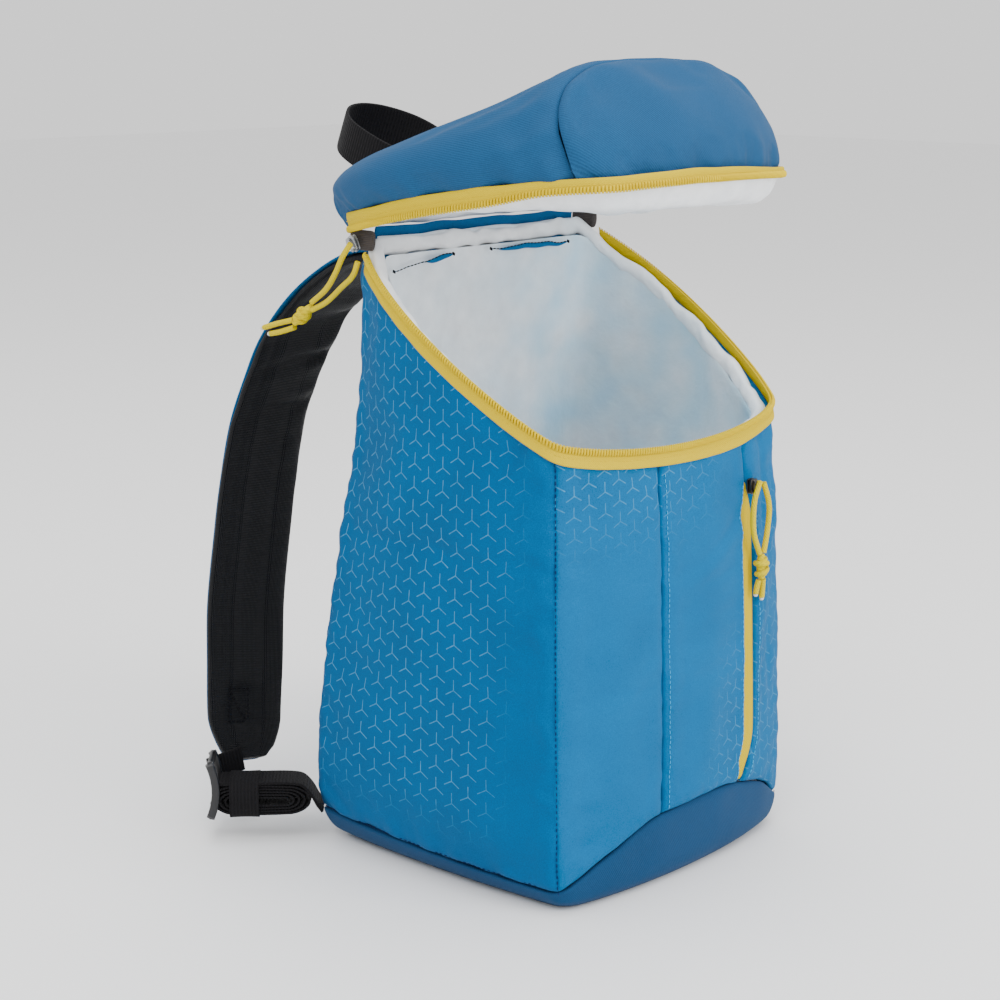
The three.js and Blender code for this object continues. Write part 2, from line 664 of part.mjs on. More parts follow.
// Carrying handle: a loop of webbing sewn to the back end of the lid
const handleAround = Math.acos(Math.pow(HANDLE_SPAN / 2 / HALF_WIDTH, 1 / LID_RIBS[1].square)) / Math.PI;
const handleFoot = lidPoint(HANDLE_RIB, handleAround, 0).add(vec(0, HANDLE_SEAT, 0));
const handleShape = [
  { reach: 0, out: 1.0 },
  { reach: 0.35, out: 1.25 },
  { reach: 0.72, out: 1.15 },
  { reach: 0.94, out: 0.6 },
  { reach: 1, out: 0 },
];
const handlePoint = (row, side) => vec(
  (side * row.out * HANDLE_SPAN) / 2,
  handleFoot.y + row.reach * HANDLE_REACH,
  handleFoot.z + row.reach * HANDLE_RISE,
);
const handleCurve = new THREE.CatmullRomCurve3([
  ...handleShape.map((row) => handlePoint(row, -1)),
  ...handleShape.slice(0, -1).reverse().map((row) => handlePoint(row, 1)),
]);
const handleWidth = vec(0, -HANDLE_RISE, HANDLE_REACH).normalize();
add(
  lid,
  'grab_handle',
  webbing(handleCurve.getPoints(STEPS.strap), handleWidth, HANDLE_WEB, HANDLE_THICK),
  COLOURS.webbing,
);

/** Point given as shares of the half width, the depth and the hinge height. */
const shared = (row, side) => vec(
  side * row.out * HALF_WIDTH,
  row.away * DEPTH,
  row.height * HINGE_HEIGHT,
);

/** Middle line, widths and section directions of a shoulder strap on one side. */
function strapFrames(side) {
  const rows = STRAP_LINE.map((row) => ({ ...row }));
  const start = shared(rows[0], side);
  const back = planPoint('back', 0.5, start.z, 0)[1];
  const curve = new THREE.CatmullRomCurve3([
    vec(start.x, back + GAP, start.z),
    ...rows.slice(1).map((row) => shared(row, side)),
  ], false, 'centripetal');
  const widths = new THREE.CatmullRomCurve3(rows.map((row) => vec(row.width, 0, 0)), false, 'centripetal');
  return range(STEPS.strap).map((t) => {
    const centre = curve.getPoint(t);
    const along = t === 0 ? vec(0, 1, 0) : curve.getTangent(t);
    const across = vec(1, 0, 0).addScaledVector(along, -along.x).normalize();
    const out = across.clone().cross(along).normalize();
    return { centre, across, out, width: widths.getPoint(t).x * STRAP_WIDTH };
  });
}

/** Layer of a strap between two distances out from its middle line. */
function strapLayer(frames, from, to, round) {
  return sweep(frames.map(({ centre, across, out, width }) => {
    const middle = centre.clone().addScaledVector(out, (from + to) / 2);
    return stripRing(middle, across, out, width, to - from, round);
  }));
}

/** Box between two corners, as a geometry about the middle of its base face. */
const slab = (x, y, z) => new THREE.BoxGeometry(x, y, z);

/** Rectangle path for a shape or a hole. */
function rectangle(path, width, height, x = 0, y = 0) {
  path.moveTo(x - width / 2, y - height / 2);
  path.lineTo(x + width / 2, y - height / 2);
  path.lineTo(x + width / 2, y + height / 2);
  path.lineTo(x - width / 2, y + height / 2);
  return path;
}

/** Slotted frame of a ladder lock buckle: two slots one above the other. */
function ladderLock() {
  const shape = rectangle(new THREE.Shape(), LOCK_DEPTH, LOCK_HEIGHT);
  for (const [side, trim] of [[-1, 0], [1, LOCK_BAR / 4]]) {
    const y = (side * (LOCK_BAR + LOCK_SLOT)) / 2;
    shape.holes.push(rectangle(new THREE.Path(), LOCK_DEPTH - LOCK_BAR - trim, LOCK_SLOT, 0, y));
  }
  return new THREE.ExtrudeGeometry(shape, { depth: LOCK_THICK, bevelEnabled: false })
    .translate(0, 0, -LOCK_THICK / 2);
}

/** Roll of spare webbing lying on its side, with the eye of the coil left open. */
function webbingRoll() {
  const half = ROLL_HEIGHT / 2;
  const straight = ROLL_LENGTH / 2 - half;
  const shape = new THREE.Shape();
  shape.moveTo(-straight, -half);
  shape.lineTo(straight, -half);
  shape.absarc(straight, 0, half, -Math.PI / 2, Math.PI / 2, false);
  shape.lineTo(-straight, half);
  shape.absarc(-straight, 0, half, Math.PI / 2, -Math.PI / 2, false);
  shape.holes.push(rectangle(new THREE.Path(), ROLL_EYE, ROLL_EYE / 2, straight / 2));
  return new THREE.ExtrudeGeometry(shape, { depth: WEB_WIDTH, bevelEnabled: false, curveSegments: 6 })
    .translate(0, 0, -WEB_WIDTH / 2);
}

/** Elastic keeper: a flat ring around the roll and the webbing above it. */
function keeper() {
  const wide = WEB_WIDTH + 2 * GAP;
  const tall = ROLL_HEIGHT + WEB_THICK + 3 * GAP;
  const shape = rectangle(new THREE.Shape(), wide + 2 * KEEPER_THICK, tall + 2 * KEEPER_THICK);
  shape.holes.push(rectangle(new THREE.Path(), wide, tall));
  return new THREE.ExtrudeGeometry(shape, { depth: KEEPER_LENGTH, bevelEnabled: false })
    .translate(0, 0, -KEEPER_LENGTH / 2);
}

/** Turns a geometry's own axes to three directions and puts its middle at a point. */
const placed = (geometry, x, y, z, at) =>
  geometry.applyMatrix4(new THREE.Matrix4().makeBasis(x, y, z).setPosition(at));

/** The same geometry on the other side of the bag. */
function mirrored(geometry) {
  const copy = geometry.index ? geometry.toNonIndexed() : geometry.clone();
  const place = copy.attributes.position;
  const points = [];
  for (let i = 0; i < place.count; i += 1) points.push(vec(-place.getX(i), place.getY(i), place.getZ(i)));
  const faces = range(points.length / 3).slice(0, -1).map((_, i) => [3 * i, 3 * i + 2, 3 * i + 1]);
  return solid(points, faces);
}

/** Adds a piece of the left strap and its mirror image on the right. */
function addPair(name, geometry, colour, roughness = 0.85) {
  add(body, `${name}_left`, geometry, colour, roughness);
  add(body, `${name}_right`, mirrored(geometry), colour, roughness);
}

// Shoulder straps with their buckles and lower webbing
const strap = strapFrames(-1);
addPair('strap_pad', strapLayer(strap, 0, STRAP_PAD, 1), COLOURS.mesh);
addPair('strap_cover', strapLayer(strap, STRAP_PAD + GAP, STRAP_PAD + GAP + STRAP_TOP, 0), COLOURS.blue);

const UP = vec(0, 0, 1);
const lock = shared(LOCK_PLACE, -1);
const corner = vec(...planPoint('left', 0, lock.z, 0), lock.z);
const webWay = lock.clone().sub(corner).normalize();
const webSide = UP.clone().cross(webWay);
addPair('ladder_lock', placed(ladderLock(), webSide, UP, webWay.clone(), lock), COLOURS.plastic, 0.4);

const rollHeight = lock.z - ROLL_DROP;
const webHeight = rollHeight + (ROLL_HEIGHT + WEB_THICK) / 2 + GAP;
const webEnd = lock.clone().addScaledVector(webWay, -LOCK_THICK / 2 - GAP).setZ(webHeight);
const webShape = WEB_DROP.map(({ at, drop }) => corner.clone()
  .addScaledVector(webWay, at * ROLL_LENGTH).setZ(webHeight - drop * ROLL_HEIGHT));
addPair('lower_webbing', webbing([...webShape, webEnd], webSide, WEB_WIDTH, WEB_THICK), COLOURS.webbing);

const rollAt = webEnd.clone().addScaledVector(webWay, -ROLL_LENGTH / 2 - GAP).setZ(rollHeight);
addPair(
  'webbing_roll',
  placed(webbingRoll(), webWay.clone().negate(), UP, webSide, rollAt),
  COLOURS.webbing,
);

const keeperAt = rollAt.clone().addScaledVector(webWay, KEEPER_SHIFT)
  .addScaledVector(UP, (WEB_THICK + GAP) / 2);
addPair('web_keeper', placed(keeper(), webSide, UP, webWay.clone(), keeperAt), COLOURS.webbing);

const strapLast = strap[strap.length - 1];
const strapEnd = strapLast.centre.clone().addScaledVector(strapLast.out, STRAP_PAD / 2);
const loopWay = lock.clone().sub(strapEnd).normalize();
const loopStart = strapEnd.clone().addScaledVector(loopWay, (strapLast.width / 2) + LOOP_SEAT);
const loopEnd = lock.clone().addScaledVector(webSide, -LOCK_DEPTH / 2 - WEB_THICK);
addPair(
  'strap_loop',
  webbing([loopStart, loopStart.clone().lerp(loopEnd, 0.5), loopEnd], UP, LOOP_WIDTH, WEB_THICK),
  COLOURS.webbing,
);

/** Zip slider: a block with an eye across it for the pull cord. */
function zipSlider() {
  const shape = rectangle(new THREE.Shape(), SLIDER_LENGTH, SLIDER_HEIGHT);
  shape.holes.push(rectangle(new THREE.Path(), SLIDER_EYE, SLIDER_HEIGHT / 3, 0, SLIDER_HEIGHT / 6));
  return new THREE.ExtrudeGeometry(shape, { depth: SLIDER_WIDTH, bevelEnabled: false })
    .translate(0, 0, -SLIDER_WIDTH / 2);
}

const mainSlider = add(body, 'main_zip_slider', zipSlider(), COLOURS.metal, 0.35, 0.8);
const mainAt = wallPoint(
  'left',
  SLIDER_SHARE,
  rimAt('left', SLIDER_SHARE) + LID_LIFT / 2,
  -SLIDER_HEIGHT / 2 - SLIDER_SEAT,
);
placed(mainSlider.geometry, vec(0, -1, 0), vec(-1, 0, 0), vec(0, 0, -1), mainAt);

const pocketSlider = add(body, 'pocket_zip_slider', zipSlider(), COLOURS.metal, 0.35, 0.8);
const pocketHeight = wallRow('front', POCKET_LINE, POCKET_END) - SLIDER_LENGTH;
const pocketAt = wallPoint('front', POCKET_LINE, pocketHeight, -SLIDER_HEIGHT / 2 - 3 * GAP);
placed(pocketSlider.geometry, vec(0, 0, 1), vec(0, -1, 0), vec(1, 0, 0), pocketAt);

/** Cord along a chosen route. */
function cord(route) {
  const path = new THREE.CatmullRomCurve3(route.map((p) => vec(...p)));
  const section = new THREE.Shape();
  section.absarc(0, 0, CORD / 2, 0, Math.PI * 2, false);
  const steps = Math.max(Math.round(path.getLength() / (CORD * 2)), 3);
  return new THREE.ExtrudeGeometry(section, {
    steps,
    extrudePath: path,
    curveSegments: STEPS.cord / 2,
    bevelEnabled: false,
  });
}

/** Knot: a turned bead between two points, rounded at its ends. */
function knot([from, to]) {
  const [a, b] = [vec(...from), vec(...to)];
  const profile = range(6).map((t) => new THREE.Vector2(
    t === 0 || t === 1 ? 0 : (KNOT_WIDTH / 2) * Math.pow(Math.sin(Math.PI * t), 0.6),
    (t - 0.5) * a.distanceTo(b),
  ));
  const mesh = new THREE.LatheGeometry(profile, 10);
  const turn = new THREE.Quaternion().setFromUnitVectors(vec(0, 1, 0), b.clone().sub(a).normalize());
  return mesh.applyQuaternion(turn).translate(...a.lerp(b, 0.5).toArray());
}

for (const [name, routes] of [['main_pull', MAIN_CORD], ['pocket_pull', POCKET_CORD]]) {
  for (const [key, route] of Object.entries(routes)) {
    const piece = key === 'knot' ? knot(route) : cord(route);
    add(body, `${name}_${key}`, piece, COLOURS.yellow, 0.7);
  }
}

// Origin: middle of the bag's footprint box on the floor, cords and knots apart
bag.updateMatrixWorld(true);
const box = new THREE.Box3();
bag.traverse((piece) => {
  if (piece.isMesh && !/_pull_/.test(piece.name)) box.expandByObject(piece, true);
});
const middle = box.getCenter(vec(0, 0, 0));
bag.position.set(-middle.x, -middle.y, -box.min.z);

export default bag;
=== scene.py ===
"""Looks of the cooler backpack: padded walls, zips, lid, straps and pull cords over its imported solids."""
from __future__ import annotations

import logging
import math
from dataclasses import dataclass
from enum import Enum
from typing import Callable, Sequence

import bpy
import numpy as np
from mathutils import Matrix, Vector


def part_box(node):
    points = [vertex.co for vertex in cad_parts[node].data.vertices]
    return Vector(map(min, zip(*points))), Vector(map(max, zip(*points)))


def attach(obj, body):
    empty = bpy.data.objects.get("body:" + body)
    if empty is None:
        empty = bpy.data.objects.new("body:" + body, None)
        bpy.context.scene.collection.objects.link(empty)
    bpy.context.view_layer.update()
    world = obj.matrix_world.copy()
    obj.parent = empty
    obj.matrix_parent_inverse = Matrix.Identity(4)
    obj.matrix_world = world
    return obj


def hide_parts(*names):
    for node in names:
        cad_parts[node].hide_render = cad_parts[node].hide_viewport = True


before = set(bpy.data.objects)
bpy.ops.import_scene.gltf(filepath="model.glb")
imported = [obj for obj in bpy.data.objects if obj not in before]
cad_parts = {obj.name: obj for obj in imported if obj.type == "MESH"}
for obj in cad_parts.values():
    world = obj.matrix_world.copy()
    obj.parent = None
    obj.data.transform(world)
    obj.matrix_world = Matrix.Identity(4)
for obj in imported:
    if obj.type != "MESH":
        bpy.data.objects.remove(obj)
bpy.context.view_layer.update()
LOG = logging.getLogger("cooler_backpack")

# The source's own sizes in millimetres, with the hinge over the origin as it has them.
SHIFT = np.array([0.0, 31.285, 0.0])
HALF_WIDTH = 92.0
DEPTH = 140.0
HINGE_HEIGHT = 328.0
FRONT_HEIGHT = 236.0
RIM_SLOPE = (HINGE_HEIGHT - FRONT_HEIGHT) / DEPTH
RIM_TILT = math.atan(RIM_SLOPE)
WALL = 5.0
CENTRE_SEAM = 0.36
POCKET_LINE = 0.77
POCKET_SLOT = 10.6
POCKET_END = 0.875
ZIP_START = 0.07
TAPE_THICK = 1.1
WALL_TOP = 6.0
HEM_DROP = 6.0
LID_HEIGHT = 62.0
LID_SETBACK = 10.0
LID_LIFT = 3.0
LID_PITCH = RIM_TILT - math.radians(45)
LID_TAPER = 0.19
LID_FRONT_DROP = 8.0
LID_WALL = 5.0
LID_SIDE_BULGE = 6.0
LID_FRONT_BULGE = 7.0
LID_TAPE_WIDTH = 8.0
LID_TAPE_TOP = 9.6
GAP = 0.3
COIL_PITCH = 1.7
COIL_LENGTH = 3.8
COIL_HEIGHT = 1.7
HINGE_SPAN = 83.0
LOCK_LENGTH = 31.0
FAR = 99.0
UP = np.array([0.0, 0.0, 1.0])
LEVEL = np.array([1, 1, 0])
PER_METRE = 1000
SETTLE_FRAMES = 20


class Panel(Enum):
    """Wall of the bag that a place is on."""

    LEFT = "left"
    FRONT = "front"
    RIGHT = "right"
    BACK = "back"


def smooth_curve(x: np.ndarray, y: np.ndarray, at: np.ndarray) -> np.ndarray:
    """Values of a monotone cubic curve through points.

    Args:
        x: Rising places of the points.
        y: Values at them.
        at: Places to read.

    Returns:
        The curve's values, flat beyond its ends.
    """
    step = np.diff(x)
    slope = np.diff(y) / step
    tangent = np.zeros_like(y)
    tangent[0] = slope[0]
    tangent[-1] = slope[-1]
    for i in range(1, len(y) - 1):
        if slope[i - 1] * slope[i] > 0:
            near = 2 * step[i] + step[i - 1]
            far = step[i] + 2 * step[i - 1]
            tangent[i] = (near + far) / (near / slope[i - 1] + far / slope[i])
    at = np.clip(at, x[0], x[-1])
    i = np.clip(np.searchsorted(x, at, side="right") - 1, 0, len(x) - 2)
    t = (at - x[i]) / step[i]
    rest = 1 - t
    ends = y[i] * (1 + 2 * t) * rest**2 + y[i + 1] * (3 - 2 * t) * t**2
    return ends + step[i] * t * rest * (tangent[i] * rest - tangent[i + 1] * t)


class Table:
    """Short table whose columns are read between its rows along a smooth curve."""

    def __init__(self, names: str, *rows: Sequence[float]) -> None:
        """Keeps the columns by name; the first one is the key.

        Args:
            names: Column names, apart by spaces.
            rows: One row of numbers each.
        """
        self.names = names.split()
        self.columns = dict(zip(self.names, np.array(rows, float).T))

    def read(self, column: str, at: np.ndarray) -> np.ndarray:
        """Values of one column at places along the key column."""
        return smooth_curve(self.columns[self.names[0]], self.columns[column], np.asarray(at, float))


SECTIONS = Table(
    "height back rear side_bulge front face face_bulge",
    (0.000, 0.93, 0.13, 0.030, 0.89, 0.985, 0.075),
    (0.016, 1.00, 0.17, 0.035, 0.96, 1.010, 0.085),
    (0.044, 1.04, 0.195, 0.045, 1.00, 1.015, 0.095),
    (0.122, 1.07, 0.21, 0.060, 1.01, 1.015, 0.105),
    (0.335, 1.05, 0.16, 0.075, 1.00, 1.000, 0.115),
    (0.550, 1.00, 0.09, 0.090, 0.98, 0.985, 0.110),
    (0.720, 0.96, 0.03, 0.115, 0.95, 0.965, 0.100),
    (1.000, 0.91, 0.00, 0.145, 0.93, 0.960, 0.100),
)
SIDE_SEAM = Table("at height", (0, 0.050), (0.5, 0.042), (1, 0.034))
FRONT_SEAM = Table(
    "at height", (0, 0.034), (0.15, 0.076), (0.35, 0.118), (0.60, 0.124), (0.85, 0.098), (1, 0.050)
)
LID_RIBS = Table(
    "at rim crown height foot square puff",
    (0 / 7, 0.000, -0.02, 0.085, 0.0, 0.55, 0.0),
    (1 / 7, 0.015, -0.10, 0.360, 0.5, 0.50, 0.1),
    (2 / 7, 0.060, -0.06, 0.540, 1.0, 0.50, 0.3),
    (3 / 7, 0.150, 0.05, 0.630, 1.0, 0.50, 0.7),
    (4 / 7, 0.300, 0.22, 0.690, 1.0, 0.50, 1.0),
    (5 / 7, 0.500, 0.44, 0.770, 1.0, 0.52, 1.0),
    (6 / 7, 0.750, 0.69, 0.890, 1.0, 0.56, 0.9),
    (7 / 7, 0.945, 0.88, 1.000, 1.0, 0.62, 0.8),
)
STRAP_LINE = Table(
    "row out away height width",
    (0, 0.50, 0.040, 0.955, 0.90),
    (1, 0.51, 0.170, 0.950, 0.94),
    (2, 0.54, 0.425, 0.885, 1.00),
    (3, 0.59, 0.585, 0.805, 1.00),
    (4, 0.65, 0.650, 0.735, 1.00),
    (5, 0.71, 0.695, 0.660, 1.00),
    (6, 0.79, 0.705, 0.555, 1.00),
    (7, 0.86, 0.692, 0.475, 1.00),
    (8, 0.96, 0.665, 0.360, 1.00),
    (9, 1.03, 0.625, 0.266, 0.98),
    (10, 1.12, 0.570, 0.172, 0.92),
    (11, 1.16, 0.530, 0.128, 0.66),
    (12, 1.17, 0.510, 0.112, 0.40),
)


def mix(a, b, share):
    """Value between two others."""
    return a + (b - a) * share


def ease(low: float, high: float, value):
    """Smooth step from 0 at low to 1 at high."""
    t = np.clip((np.asarray(value, float) - low) / (high - low), 0, 1)
    return t * t * (3 - 2 * t)


def bell(value, width: float):
    """Bell curve that is 1 where the value is 0 and falls away over a width."""
    return np.exp(-((value / width) ** 2))


def swell(share):
    """How far a panel stands out between its seams: 0 at them, 1 in the middle."""
    return np.maximum(4 * share * (1 - share), 0) ** 0.75


def noise(u, v, size: float, seed: int) -> np.ndarray:
    """Smooth noise from -1 to 1 over a plane.

    Args:
        u: First coordinate in mm.
        v: Second coordinate in mm.
        size: Size of one bump in mm.
        seed: Number that fixes the pattern.

    Returns:
        Noise at each place.
    """
    lattice = np.random.RandomState(seed).uniform(-1, 1, (64, 64))
    x = np.asarray(u, float) / size + 1000
    y = np.asarray(v, float) / size + 1000
    i = np.floor(x).astype(int)
    j = np.floor(y).astype(int)
    s = x - i
    t = y - j
    s = s * s * (3 - 2 * s)
    t = t * t * (3 - 2 * t)
    low = mix(lattice[i % 64, j % 64], lattice[(i + 1) % 64, j % 64], s)
    high = mix(lattice[i % 64, (j + 1) % 64], lattice[(i + 1) % 64, (j + 1) % 64], s)
    return mix(low, high, t)


def unit(vectors: np.ndarray) -> np.ndarray:
    """The same directions, of length one."""
    length = np.linalg.norm(vectors, axis=-1, keepdims=True)
    return vectors / np.maximum(length, 1e-9)


def plan(panel: Panel, share, height, inset=0.0) -> tuple[np.ndarray, np.ndarray]:
    """Plan coordinates of a wall at a share between its seams.

    Args:
        panel: Wall.
        share: Place between its seams, from 0 to 1.
        height: Height in mm.
        inset: Distance in from the outside.

    Returns:
        The x and y of each place in mm.
    """
    level = np.asarray(height, float) / HINGE_HEIGHT
    back_x = SECTIONS.read("back", level) * HALF_WIDTH - inset
    back_y = SECTIONS.read("rear", level) * DEPTH - inset
    front_x = SECTIONS.read("front", level) * HALF_WIDTH - inset
    front_y = -SECTIONS.read("face", level) * DEPTH + inset
    side = SECTIONS.read("side_bulge", level) * DEPTH * swell(share)
    if panel is Panel.LEFT:
        return -mix(back_x, front_x, share) - side, mix(back_y, front_y, share)
    if panel is Panel.RIGHT:
        return mix(front_x, back_x, share) + side, mix(front_y, back_y, share)
    if panel is Panel.BACK:
        return mix(back_x, -back_x, share), back_y + 0 * share
    face = SECTIONS.read("face_bulge", level) * DEPTH * swell(share)
    return mix(-front_x, front_x, share), front_y - face


def rim_at(panel: Panel, share) -> np.ndarray:
    """Height of the mouth's rim at places on a wall."""
    height = np.full(np.shape(share), HINGE_HEIGHT)
    for _ in range(6):
        height = HINGE_HEIGHT + np.minimum(plan(panel, share, height)[1], 0) * RIM_SLOPE
    return height


def base_seam_at(panel: Panel, share) -> np.ndarray:
    """Height of the seam between a wall and the dark base."""
    share = np.asarray(share, float)
    if panel is Panel.FRONT:
        return FRONT_SEAM.read("height", share) * HINGE_HEIGHT
    if panel is Panel.BACK:
        return np.full(share.shape, 0.050 * HINGE_HEIGHT)
    if panel is Panel.LEFT:
        return SIDE_SEAM.read("height", share) * HINGE_HEIGHT
    return (SIDE_SEAM.read("height", 1 - share) + (0.050 - 0.034) * (1 - share)) * HINGE_HEIGHT


def wall_point(panel: Panel, share, height, inset=0.0) -> np.ndarray:
    """Points on a wall."""
    share, height, inset = np.broadcast_arrays(
        np.asarray(share, float), np.asarray(height, float), np.asarray(inset, float)
    )
    x, y = plan(panel, share, height, inset)
    return np.stack([x, y, height], axis=-1)


def surface_normals(grid: np.ndarray) -> np.ndarray:
    """Unit normals of a grid of points, rows by columns."""
    return unit(np.cross(np.gradient(grid, axis=1), np.gradient(grid, axis=0)))


def spline(points: np.ndarray, at: np.ndarray) -> np.ndarray:
    """Points of a centripetal curve through a list of points, at shares of its stretches."""
    points = np.asarray(points, float)
    count = len(points) - 1
    place = np.clip(np.asarray(at, float), 0, 1) * count
    index = np.minimum(np.floor(place).astype(int), count - 1)
    t = (place - index)[:, None]
    padded = np.vstack([2 * points[0] - points[1], points, 2 * points[-1] - points[-2]])
    a, b, c, d = (padded[index + k] for k in range(4))

    def gap(p: np.ndarray, q: np.ndarray) -> np.ndarray:
        """Knot spacing between two points."""
        return np.maximum(np.sqrt(np.linalg.norm(p - q, axis=1, keepdims=True)), 1e-4)

    ab, bc, cd = gap(a, b), gap(b, c), gap(c, d)
    start = ((b - a) / ab - (c - a) / (ab + bc) + (c - b) / bc) * bc
    end = ((c - b) / bc - (d - b) / (bc + cd) + (d - c) / cd) * bc
    rest = 1 - t
    return b * (1 + 2 * t) * rest**2 + c * (3 - 2 * t) * t**2 + t * rest * (start * rest - end * t)


def run_length(points: np.ndarray, axis: int = 0) -> np.ndarray:
    """Length along a line of points from its first one, or along each line of a grid."""
    step = np.linalg.norm(np.diff(points, axis=axis), axis=-1)
    start = np.zeros_like(np.take(step, [0], axis=axis))
    return np.concatenate([start, np.cumsum(step, axis=axis)], axis=axis)


def resample(points: np.ndarray, step: float, *values: np.ndarray) -> list[np.ndarray]:
    """A line and values along it, read again at even steps of its length."""
    length = run_length(points)
    count = max(int(round(length[-1] / step)), 1)
    at = np.linspace(0, length[-1], count + 1)
    out = []
    for value in (points, *values):
        value = np.asarray(value, float)
        flat = value.reshape(len(value), -1)
        read = np.stack([np.interp(at, length, column) for column in flat.T], axis=1)
        out.append(read.reshape((len(at),) + value.shape[1:]))
    return out


def tangents(points: np.ndarray) -> np.ndarray:
    """Unit directions along a line of points."""
    return unit(np.gradient(points, axis=0))


def circle(sides: int) -> np.ndarray:
    """Even angles round a closed section."""
    return np.linspace(0, 2 * np.pi, sides, endpoint=False)


def rounded(values: np.ndarray, square) -> np.ndarray:
    """Sines or cosines pushed out towards a box's sides, the farther the nearer square is to 0."""
    return np.sign(values) * np.abs(values) ** square


def paired(*parts) -> np.ndarray:
    """Arrays brought to one shape and stacked along a new last axis."""
    return np.stack(np.broadcast_arrays(*parts), axis=-1)


def box_corners(node: str) -> tuple[np.ndarray, np.ndarray]:
    """Low and high corner of a CAD node's box, in the source's millimetres."""
    low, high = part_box(node)
    return np.array(low) * PER_METRE - SHIFT, np.array(high) * PER_METRE - SHIFT


def grid_faces(rows: int, columns: int, loop: bool = False, ring: bool = False) -> list[list[int]]:
    """Faces of a grid of points.

    Args:
        rows: Rows of points.
        columns: Points in a row.
        loop: Whether each row's last point joins its first.
        ring: Whether the last row joins the first.

    Returns:
        Four corner numbers for each face.
    """
    number = np.arange(rows * columns).reshape(rows, columns)
    if loop:
        number = np.hstack([number, number[:, :1]])
    if ring:
        number = np.vstack([number, number[:1]])
    corners = np.stack([number[:-1, :-1], number[:-1, 1:], number[1:, 1:], number[1:, :-1]], axis=-1)
    return corners.reshape(-1, 4).tolist()


class Patch:
    """Points, faces and values of a piece, gathered in mm before it becomes an object."""

    def __init__(self) -> None:
        """Starts with nothing in it."""
        self.points: list[np.ndarray] = []
        self.faces: list[tuple[int, ...]] = []
        self.flat: list[np.ndarray] = []
        self.values: dict[str, list[np.ndarray]] = {"stars": [], "tint": []}
        self.count = 0

    def add(self, points: np.ndarray, faces: Sequence[Sequence[int]], flat=None, **values) -> None:
        """Adds a set of points with faces between them.

        Args:
            points: Points in mm, one row each.
            faces: Corner numbers, counted from this set's first point.
            flat: Places in mm on the flat cloth, for its weave; None takes x and z.
            values: Extra numbers for each point, by name.
        """
        points = np.asarray(points, float).reshape(-1, 3)
        start = self.count
        self.points.append(points)
        self.flat.append(points[:, [0, 2]] if flat is None else np.asarray(flat, float).reshape(-1, 2))
        for name, kept in self.values.items():
            value = values.get(name, 0.0)
            kept.append(np.broadcast_to(np.asarray(value, float).reshape(-1), (len(points),)))
        self.faces += [tuple(int(corner) + start for corner in face) for face in faces]
        self.count += len(points)

    def sheet(
        self, outer: np.ndarray, inner: np.ndarray, loop=False, flat=None, tips=False, **values
    ) -> None:
        """Adds a closed sheet between an outer and an inner grid of points.

        Args:
            outer: Rows by columns of points in mm.
            inner: The same for its other side.
            loop: Whether each row's last point joins its first.
            flat: Places in mm on the flat cloth.
            tips: Whether both last rows close in a point, as a cup's floor does.
            values: Extra numbers for each point, by name.
        """
        rows, columns = outer.shape[:2]
        total = rows * columns
        top = total - columns
        faces: list[Sequence[int]] = []
        for face in grid_faces(rows, columns, loop):
            faces += [face, [total + corner for corner in reversed(face)]]
        for c in range(columns if loop else columns - 1):
            d = (c + 1) % columns
            faces.append((d, c, total + c, total + d))
            if tips:
                faces.append((top + c, top + d, 2 * total))
                faces.append((total + top + d, total + top + c, 2 * total + 1))
            else:
                faces.append((top + c, top + d, total + top + d, total + top + c))
        if not loop:
            for a in range(0, top, columns):
                b = a + columns
                faces.append((a, b, total + b, total + a))
                faces.append((b + columns - 1, b - 1, total + b - 1, total + b + columns - 1))

        def doubled(kept: np.ndarray, width: int) -> np.ndarray:
            """Rows of both grids, with two more for the tips."""
            kept = np.asarray(kept, float).reshape(-1, width)
            return np.vstack([kept, kept] + [np.zeros((2, width))] * tips)

        points = doubled(outer, 3)
        points[total : 2 * total] = inner.reshape(-1, 3)
        if tips:
            points[2 * total :] = [outer[-1].mean(axis=0), inner[-1].mean(axis=0)]
        extra = {name: doubled(value, 1).ravel() for name, value in values.items()}
        self.add(points, faces, None if flat is None else doubled(flat, 2), **extra)

    def sweep(self, rings: np.ndarray, flat=None, **values) -> None:
        """Adds a solid swept through closed rings of points, with its ends closed."""
        count, sides = rings.shape[:2]
        faces = grid_faces(count, sides, loop=True)
        faces.append(tuple(reversed(range(sides))))
        faces.append(tuple(range((count - 1) * sides, count * sides)))
        self.add(rings.reshape(-1, 3), faces, flat, **values)

    def mirrored(self) -> "Patch":
        """The same patch on the other side of the bag."""
        copy = Patch()
        copy.points = [points * [-1, 1, 1] for points in self.points]
        copy.faces = [tuple(reversed(face)) for face in self.faces]
        copy.flat = [flat * [-1, 1] for flat in self.flat]
        copy.values = {name: list(kept) for name, kept in self.values.items()}
        copy.count = self.count
        return copy


def ring_frames(path: np.ndarray, side: np.ndarray) -> tuple[np.ndarray, np.ndarray]:
    """Two unit directions across a path, the first as near to a given one as it can be."""
    along = tangents(path)
    side = np.broadcast_to(side, path.shape)
    across = unit(side - along * np.sum(side * along, axis=1, keepdims=True))
    return across, unit(np.cross(along, across))


def tube_rings(path: np.ndarray, radius, sides: int = 12) -> np.ndarray:
    """Rings of a round tube along a path."""
    across, out = ring_frames(path, np.array([0.31, 0.22, 0.92]))
    angle = circle(sides)
    radius = np.broadcast_to(np.asarray(radius, float), (len(path),))[:, None, None]
    spokes = np.cos(angle)[None, :, None] * across[:, None] + np.sin(angle)[None, :, None] * out[:, None]
    return path[:, None] + radius * spokes


